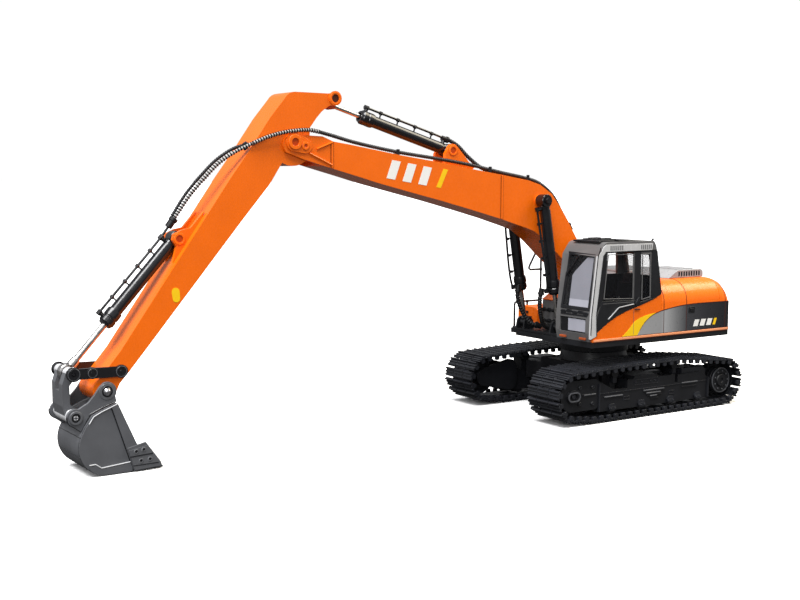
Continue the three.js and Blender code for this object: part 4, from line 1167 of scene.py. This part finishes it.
def ram_rod(x, base, end, start, radius, eye, hole):
    """A ram's rod with its eye: a bored eye joins the rod, a solid one is a separate knuckle."""
    half = RAM_EYE_HALF
    body, knuckle = Shape(), Shape()
    reach = math.hypot(end[0] - base[0], end[1] - base[1])
    stop = reach - (eye - 0.8 if hole else 1.0)
    body.lathe([(0, 0), (0, radius), (stop - start, radius), (stop - start, 0)],
               along(base, end, start, 0, x), (x, *end), 32)
    low, high = along(base, end, stop - 7, 0, x), (x, *end)
    if hole:
        body.lathe([(0, radius - 0.3), (0, radius + 0.9), (6, radius + 1.3), (6, radius - 0.3)], low, high,
                   28, True)
        body.bush(end, eye, hole, x - half, x + half, 40)
    else:
        knuckle.lathe([(3, radius - 0.3), (3, radius + 0.7), (6, radius + 1), (6, radius - 0.3)], low, high,
                      28, True)
        knuckle.pin(end, eye, x - half, x + half, 36)
    return body, knuckle


def build_rams():
    for side, sign in SIDES:
        x = BOOM_RAM_X * sign
        hose_end = (18 * sign, *RAM_HOSE[-1][1:])
        barrel = ram_barrel(x, BOOM_RAM_BASE, BOOM_RAM_END, 92, 5.2, -1, hose_end, at_base=False)
        rod, eye = ram_rod(x, BOOM_RAM_BASE, BOOM_RAM_END, 40, 2.3, 3.9, 0)
        piece(f"boom_ram_eye_{side}", eye, SATIN, f"boom_ram_rod_{side}")
        piece(f"boom_ram_tube_{side}", barrel, SATIN, f"boom_ram_barrel_{side}",
              [f"boom_ram_barrel_{side}"], angle=34)
        piece(f"boom_ram_shaft_{side}", rod, CHROME, f"boom_ram_rod_{side}",
              [f"boom_ram_rod_{side}"])
    barrel = ram_barrel(0, STICK_RAM_BASE, STICK_RAM_END, 100, 5.2, -1, BOOM_HOSE[-1])
    piece("stick_ram_tube", barrel, SATIN, "stick_ram_barrel", ["stick_ram_barrel"], angle=34)
    rod, eye = ram_rod(0, STICK_RAM_BASE, STICK_RAM_END, 45, 2.0, 4.4, 0)
    # The eye is the darker orange, painted shade.
    piece("stick_ram_eye", eye, ORANGE_PAINTED_SHADE, "stick_ram_rod")
    piece("stick_ram_shaft", rod, CHROME, "stick_ram_rod", ["stick_ram_rod"])
    barrel = ram_barrel(0, BUCKET_RAM_BASE, ROCKER_TIP, 90, 5.2, -1, STICK_HOSE[-1])
    piece("bucket_ram_tube", barrel, SATIN, "bucket_ram_barrel", ["bucket_ram_barrel"],
          angle=34)
    rod = ram_rod(0, BUCKET_RAM_BASE, ROCKER_TIP, 45, 2.7, 6.2, 4.7)[0]
    piece("bucket_ram_shaft", rod, CHROME, "bucket_ram_rod", ["bucket_ram_rod"])


# ------------------------------------------------------------------ hoses
BOOM_HOSE = [(7, -46, 180), (7, -58, 196.5), (7, -69, 212), (7, -80, 221), (7, -92, 226.8),
             (7, -108, 230.6),
             (6.5, -135, 235.2), (6, -153, 239.4), (4, -168, 250), (2, -178, 259.6), (0.5, -186, 264.2),
             (0, -194, 266.4)]
BOOM_TOP_HOSE = [(13, -46, 180), (13, -58, 196.5), (13, -69, 212), (13, -80, 221), (13, -92, 226.8),
                 (13, -108, 230.6), (13, -135, 235.2), (13, -170, 241.8), (13, -205, 246.8),
                 (13.4, -254, 252.9),
                 (15, -300, 260.6), (17.5, -322, 265.4), (18.9, -335.6, 268.2)]
JOINT_HOSE = [(19, -336.2, 268.4), (19.6, -347.7, 269.8), (19.6, -366.8, 268), (19, -383.4, 264),
              (17.4, -398.4, 258)]
STICK_HOSE = [(17.3, -399, 257.7), (13, -410.4, 251.8), (9, -424.4, 242.3), (6, -436.6, 229.7),
              (3, -449, 214.8),
              (1, -459, 200.3), (0, -466, 190.6)]
RAM_HOSE = [(8, -66, 82.2), (10, -76, 85.4), (14, -84, 97), (17, -88, 112), (18, -86.5, 122)]


def ribbed(route, radius, pitch=2.2, depth=0.2):
    """A corrugated hose: four steps to each rib."""
    return ribs(smooth_route(route, pitch / 4), radius, depth)


def ribs(path, radius, depth, first=0):
    """Corrugations along a finished path, counted on from a first step."""
    radii = [radius if (first + i) % 4 in (1, 2) else radius * (1 - depth) for i in range(len(path))]
    return Shape().sweep(path, radii, 14)


def core(route, radius):
    """The smooth pale hose that shows between the ribs of its sleeve."""
    path = smooth_route(route, 2)
    return Shape().sweep(path, [radius] * len(path), 10)


def collar(shape, at, towards, radius, length):
    """A crimped hose end with a nut."""
    shape.lathe([(-1, 0), (-1, radius), (length * 0.6, radius), (length * 0.65, radius + 0.6),
                 (length, radius + 0.6),
                 (length, 0)], at, towards, 16)


def build_hoses():
    """Ribbed hoses. Those that cross a joint ride on no body, and the ram hoses are split at their middle.
    """
    boom = ribbed(BOOM_HOSE, 2.0)
    collar(boom, BOOM_HOSE[-1], BOOM_HOSE[-2], 2.4, 6)
    collar(boom, BOOM_HOSE[0], BOOM_HOSE[1], 2.3, 6)
    piece("boom_hose_ribbed", boom, HOSE, "boom", ["boom_hose"])
    top = ribbed(BOOM_TOP_HOSE, 1.7, 2.0, 0.3)
    collar(top, BOOM_TOP_HOSE[0], BOOM_TOP_HOSE[1], 2.2, 6)
    piece("boom_top_hose_ribbed", top, HOSE, "boom", ["boom_top_hose"])
    for name, route, body in (("joint_hose", JOINT_HOSE, None), ("stick_hose", STICK_HOSE, "stick")):
        sleeve = ribbed(route, 1.9, 2.4, 0.5)
        if body:
            collar(sleeve, route[-1], route[-2], 3.0, 8)
        parts = [piece(f"{name}_ribbed", sleeve, HOSE, body, [name]),
                 piece(f"{name}_core", core(route, 1.35), HOSE_CORE, body)]
        for part in parts:
            if not body:
                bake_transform(part)
    second = [(x - 3, y - 1.6, z + 1.9) for x, y, z in STICK_HOSE[:-2]]
    second = [(13, -400, 257.6), *second[1:], (0, -463, 199)]
    piece("stick_hose_second", ribbed(second, 1.4, 2.2, 0.15), HOSE, "stick")
    for side, sign in SIDES:
        route = [(x * sign, y, z) for x, y, z in RAM_HOSE]
        path = smooth_route(route, 0.65)
        half = len(path) // 2
        lower, upper = ribs(path[:half + 1], 2.4, 0.2), ribs(path[half:], 2.4, 0.2, half)
        collar(lower, route[0], route[1], 2.8, 5)
        collar(upper, route[-1], route[-2], 2.8, 5)
        hose = piece(f"ram_hose_{side}", lower, HOSE, None, [f"boom_ram_hose_{side}"])
        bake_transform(hose)
        hose = piece(f"ram_hose_end_{side}", upper, HOSE, None)
        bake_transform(hose)
    clips = Shape()
    for y, z in ((-104, 227.6), (-150, 235.2), (-254, 249.8)):
        clips.box(10.4, 16, y - 1.6, y + 1.6, z - 0.4, z + 1.8)
        clips.box(15.2, 16.2, y - 1.6, y + 1.6, z, z + 5.4)
    piece("boom_hose_clips", clips, BLACK, "boom", bevel=0.2)
    clip = Shape().prism([(-404.4, 251.6), (-401.4, 254), (-403, 259.6), (-406, 257.6)], 12.4, 15.4)
    piece("stick_hose_clip", clip, BLACK, "stick", bevel=0.4)


# ------------------------------------------------------------------ boom and stick
BOOM_SEAMS = ((-323.6, 238.4, 260.6), (-137.8, 191.6, 232.6))


def build_boom():
    dress("boom", ORANGE, 0.7)
    seams = Shape()
    for y, low, high in BOOM_SEAMS:
        seams.box(18.3, 19.3, y - 0.9, y + 0.9, low, high)
    for a, b in (((-339, 254), (-323.4, 260)), ((-324, 240.6), (-346, 250.4))):
        seams.rod((18.9, *a), (18.9, *b), 1.0, 8)
    seams.with_mirror()
    gaps = Shape()
    for y, low, high in BOOM_SEAMS:
        for side in (-1.25, 1.25):
            gaps.box(18.3, 18.66, y + side - 0.3, y + side + 0.3, low, high)
    piece("boom_seam_lines", gaps.with_mirror(), SEAM, "boom")
    piece("boom_weld_ribs", seams, ORANGE, "boom", bevel=0.3)
    boss = Shape()
    boss.bush(STICK_PIVOT, 6.4, 3.4, 19.6, 21.4, 40)
    boss.prism(strap(STICK_PIVOT, 8.0, (-350.4, 256.4), 6.4), 18.3, 19.9)
    boss.bush((-350.4, 256.4), 3.6, 1.6, 19.6, 20.9, 28)
    boss.with_mirror()
    piece("boom_tip_bosses", boss, ORANGE, "boom", bevel=0.25)
    pin = Shape().pin(STICK_PIVOT, 4, -20.2, 20.2).pin((-350.4, 256.4), 1.8, -20.4, 20.4, 18)
    # The pin ends sit sunk in the bosses and are the darker orange, painted shade.
    piece("stick_pivot_pin", pin, ORANGE_PAINTED_SHADE, "boom", ["stick_pin"])
    ram = Shape().pin(BOOM_RAM_BASE, 2.9, -32.4, 32.4, 28)
    for sign in (1, -1):
        ram.hex_bolt(sign * 32.2, BOOM_RAM_BASE, 3.4, 1.4, sign)
    piece("boom_ram_cross_pin", ram, BLACK, "boom", ["boom_ram_pin"])
    stripes = Shape()
    width = 9
    for i in range(3):
        y = -268 + i * 17
        z = 229.6 + i * -2.6
        stripes.prism([(y, z), (y + width, z - 1.4), (y + width + 6, z + 14.6), (y + 6, z + 16)], 18.4,
                      18.66)
    piece("boom_stripes_white", stripes.with_mirror(), WHITE, "boom")
    accent = Shape().prism([(-214, 221.6), (-209, 220.8), (-201, 237.4), (-206, 238.2)], 18.4, 18.68)
    piece("boom_stripe_yellow", accent.with_mirror(), YELLOW, "boom")
    lug_bosses("stick_ram_lug", STICK_RAM_BASE, 9.6, "boom")


def lug_bosses(name, centre, x, body):
    """A ring and a sunk screw on the outer faces of a ram's lugs."""
    rings, holes = Shape(), Shape()
    for low, high in spans(x - 0.3, x + 1.0):
        rings.bush(centre, 5.0, 3.0, low, high, 32)
    for low, high in spans(x - 0.3, x + 0.3):
        holes.pin(centre, 3.1, low, high, 28, 0.1)
    piece(f"{name}_rings", rings, ORANGE, body, bevel=0.25)
    # The sunk screws are the darker orange, painted shade in the recess.
    piece(f"{name}_screws", holes, ORANGE_PAINTED_SHADE, body)


def build_stick():
    dress("stick", ORANGE, 0.7)
    holes = Shape().pin((-319, 297.4), 4.2, 15.7, 16.1, 28, 0.1).with_mirror()
    piece("stick_top_recess", holes, SEAM, "stick")
    rim = Shape().bush((-319, 297.4), 5.6, 4.2, 15.4, 17.0, 36).with_mirror()
    piece("stick_top_boss", rim, ORANGE, "stick", bevel=0.2)
    lug_bosses("bucket_ram_lug", BUCKET_RAM_BASE, 9.4, "stick")
    label = Shape().prism(strap((-467.6, 138.6), 3.4, (-467.0, 133.4), 3.2), 15.5, 15.78).with_mirror()
    piece("stick_side_label", label, YELLOW, "stick")
    pin = Shape().pin(BUCKET_PIVOT, 3, -22.2, 22.2)
    for sign in (1, -1):
        pin.lathe([(0, 0), (0, 2.7), (0.8, 2.6), (1.6, 2.1), (2.2, 1.2), (2.4, 0)],
                  (sign * 21.6, *BUCKET_PIVOT), (sign * 40, *BUCKET_PIVOT), 32)
    piece("bucket_pivot_pin", pin, STEEL, "stick", ["bucket_pin"])
    rocker = Shape().pin(ROCKER_PIVOT, 2.4, -18.3, 18.3)
    piece("rocker_pin", rocker, BLACK, "stick", ["rocker_pivot_pin"])


def recessed_bolt(shape, dark, centre, outer, sign):
    """A round boss on a rocker plate, with a dark sunk bolt."""
    low, high = sorted((sign * 18.3, sign * 18.78))
    shape.bush(centre, outer - 0.3, outer - 1.0, low, high, 32)
    dark.bush(centre, outer - 0.9, outer - 2.2, *sorted((sign * 18.3, sign * 18.74)), 28)
    dark.pin(centre, outer - 2.1, *sorted((sign * 18.3, sign * 18.5)), 28, 0.1)
    dark.hex_bolt(sign * 18.45, centre, 1.5, 0.28, sign)


def build_linkage():
    for side, sign in SIDES:
        dress(f"rocker_{side}", SATIN, 0.5)
        bosses, bolts = Shape(), Shape()
        for centre, outer in ((ROCKER_TIP, 5.4), (ROCKER_PIVOT, 4.9), ((-538.2, 79.5), 4.3)):
            recessed_bolt(bosses, bolts, centre, outer, sign)
        # The boss rings are a lighter grey, a painted highlight on their rims.
        piece(f"rocker_bosses_{side}", bosses, EDGE_HIGHLIGHT_GREY, "rocker", bevel=0.3)
        piece(f"rocker_bolts_{side}", bolts, SATIN, "rocker")
    tip = Shape().pin(ROCKER_TIP, 1.2, -5.6, 5.6, 20)
    for bare, sleeve in zip(spans(4.6, 18.5), spans(12.7, 15.9)):
        tip.pin(ROCKER_TIP, 2, *bare, 24)
        tip.bush(ROCKER_TIP, 4.4, 1.9, *sleeve)
    piece("rocker_tip_pin_and_sleeves", tip, BRIGHT_GREY_AND_HIGHLIGHT, "rocker", ["rocker_tip_pin"])
    dress("bucket_link", BUCKET_GREY, 0.4)
    tubes = Shape()
    for span in spans(4.5, 12.5):
        tubes.bush(ROCKER_TIP, 4.5, 2.4, *span)
    tubes.bush(LINK_PIN, 5.5, 3.9, -12.6, 12.6)
    piece("link_tubes", tubes, BRIGHT_GREY_AND_HIGHLIGHT, "bucket_link")
    pin = Shape().pin(LINK_PIN, 1.2, -13.6, 13.6, 20)
    for bare, sleeve in zip(spans(12.8, 22.0), spans(12.8, 18.7)):
        pin.pin(LINK_PIN, 2, *bare, 24)
        pin.bush(LINK_PIN, 4.6, 1.9, *sleeve)
    piece("link_pin_and_sleeves", pin, BRIGHT_GREY_AND_HIGHLIGHT, "bucket", ["link_pin"])
    heads, screws = Shape(), Shape()
    y, z = LINK_PIN
    for boss, recess, slot in zip(spans(21.3, 22.6), spans(21.3, 21.8), spans(21.7, 22.1)):
        heads.bush(LINK_PIN, 5.4, 3.6, *boss, 36)
        screws.pin(LINK_PIN, 3.6, *recess, 32, 0.1)
        heads.bush(BUCKET_PIVOT, 6.6, 4.4, *recess, 40)
        screws.bush(BUCKET_PIVOT, 4.5, 2.9, *recess, 40)
        for wide, tall in ((2.2, 0.45), (0.45, 2.2)):
            heads.box(*slot, y - wide, y + wide, z - tall, z + tall)
    piece("bucket_pin_bosses", heads, BUCKET_GREY, "bucket", bevel=0.3)
    piece("bucket_pin_recesses", screws, SATIN, "bucket")


# ------------------------------------------------------------------ bucket
SHELL_BACK = (-530, 22.6)


def build_bucket():
    outer = [(-521.5, 55.4), (-534.3, 50.6), (-541, 47.4), (-547.4, 39), *arc(SHELL_BACK, 23, 152, 256, 20),
             (-508, 0.1), (-499.4, 0.4)]
    inner = [(-499.6, 2.4), (-508, 2.4), *arc(SHELL_BACK, 20.8, 256, 152, 20), (-545.6, 38.6), (-540, 45.2),
             (-533.4, 48.2), (-520.8, 53.2)]
    shell = Shape().prism(outer + inner, -25.9, 25.9)
    side = [*outer, (-506, 20)]
    shell.prism(side, 23.6, 26.0).prism(side, -26.0, -23.6)
    piece("bucket_shell", shell, BUCKET_GREY, "bucket", ["bucket"], bevel=0.35)


def build_bucket_plates():
    """The ears, wear plates and side groove."""
    plates = Shape()
    ear = [*arc(BUCKET_PIVOT, 7.6, -30, 110, 14), (-534.2, 68.6), (-538.4, 62.6), (-543.6, 57.2),
           *arc(LINK_PIN, 7, 70, 250, 16), (-549.4, 35.2), (-545.2, 42.4), (-542, 48.6), (-533, 52.4),
           (-520.6, 56.6)]
    plates.prism(ear, 18.9, 21.4).with_mirror()
    piece("bucket_ears", plates, BUCKET_GREY, "bucket", bevel=0.35)

    wear = Shape()
    front = [(-521.4, 55.2), (-526.6, 53.2), (-509.4, 0.4), (-499.6, 0.6), (-505.8, 20)]
    wear.prism(front, 25.9, 26.7)
    foot = [(-545.4, 8.4), (-540.2, 8.8), (-535.6, 5.4), (-512, 7.4), (-510.6, 3.2), (-510.6, 0.4),
            *arc(SHELL_BACK, 22.9, 256, 232, 6)]
    wear.prism(foot, 25.9, 26.6)
    wear.with_mirror()
    piece("bucket_wear_plates", wear, BUCKET_GREY, "bucket", bevel=0.25)

    groove = Shape()
    groove.prism([(-527.4, 52.9), (-526.4, 53.3), (-508.9, 0.6), (-510.2, 0.6)], 25.9, 26.45).with_mirror()
    piece("bucket_groove", groove, SATIN, "bucket")


def build_bucket_edges():
    """Bright lines along the edges as a painted highlight, and dark lines along the bends across the back.
    """
    edges = Shape()
    line = [(26.3, -521.6, 55.1), (26.3, -527.2, 52.9), (26.3, -534.4, 50.2), (26.3, -541, 46.9),
            (26.3, -544.6, 41.6)]
    edges.sweep(line, [0.42] * len(line), 8)
    line = [(26.4, -545.2, 9.4), (26.4, -540.4, 9.6), (26.4, -535.6, 6.2), (26.4, -512.4, 8.2)]
    edges.sweep(line, [0.5] * len(line), 8)
    edges.with_mirror()
    # These bright lines are painted highlights along the bucket edges.
    piece("bucket_painted_edge_highlights", edges, BRIGHT_GREY_AND_HIGHLIGHT, "bucket")

    bend = Shape()
    for degrees in (158, 196):
        y, z = arc(SHELL_BACK, 23.05, degrees, degrees, 1)[0]
        bend.rod((-25.6, y, z), (25.6, y, z), 0.32, 8)
    piece("bucket_back_bends", bend, SATIN, "bucket")


def build_bucket_teeth():
    """Five teeth on their adapters."""
    teeth = Shape()
    for x in (-22, -11, 0, 11, 22):
        teeth.prism([(-503, 0.2), (-492, 0.2), (-484.4, 0.4), (-484.4, 1.5), (-493, 4.2), (-503, 4.8)],
                    x - 2.6, x + 2.6)
        teeth.box(x - 3.2, x + 3.2, -506.4, -499.4, 0.3, 5.4)
    piece("bucket_teeth", teeth, BUCKET_GREY, "bucket", bevel=0.3)


def build_bucket_cutters():
    """Side cutters, their bolts and the dark lines."""
    cutter, holes = Shape(), Shape()
    cutter.prism([(-515, 19.4), (-499.8, 22.8), (-487.4, 5.4), (-486.4, 2.2), (-509, 1.0)], 26.2, 27.8)
    cutter.prism([(-514.2, 17.4), (-498.6, 20.2), (-493.4, 13.6), (-512.6, 12.6)], 27.6, 28.2)
    for spot in ((-508, 16.1), (-501.8, 17.1), (-504, 8.3), (-496.6, 8.8)):
        x = 28.0 if spot[1] > 12 else 27.6
        cutter.bush(spot, 2.0, 1.1, x, x + 0.6, 18)
        holes.pin(spot, 1.2, x, x + 0.25, 16, 0.05)
    for a, b in (((-513, 12.2), (-493.8, 13.0)), ((-510.4, 5.0), (-489.4, 5.2))):
        holes.rod((27.8, *a), (27.8, *b), 0.35, 8)
    piece("bucket_side_cutters", cutter.with_mirror(), BUCKET_GREY, "bucket", bevel=0.2)
    outline = [(21.5, y, z) for y, z in [*arc(LINK_PIN, 7.1, 170, 250, 8), (-549.6, 35.2), (-545.4, 42.2),
                                         (-542.2, 48.4), (-533.2, 52.2), (-521, 56.4)]]
    holes.sweep(outline, [0.4] * len(outline), 8)
    piece("bucket_dark_lines", holes.with_mirror(), SATIN, "bucket")


stand_camera()
studio()
build_hoses()
build_undercarriage()
build_body()
build_hoods()
build_cab()
build_cab_windows()
build_cab_pillar()
build_cab_door()
build_cab_front()
build_cab_roof()
build_cab_inside()
build_fittings()
build_rams()
build_boom()
build_stick()
build_linkage()
build_bucket()
build_bucket_plates()
build_bucket_edges()
build_bucket_teeth()
build_bucket_cutters()
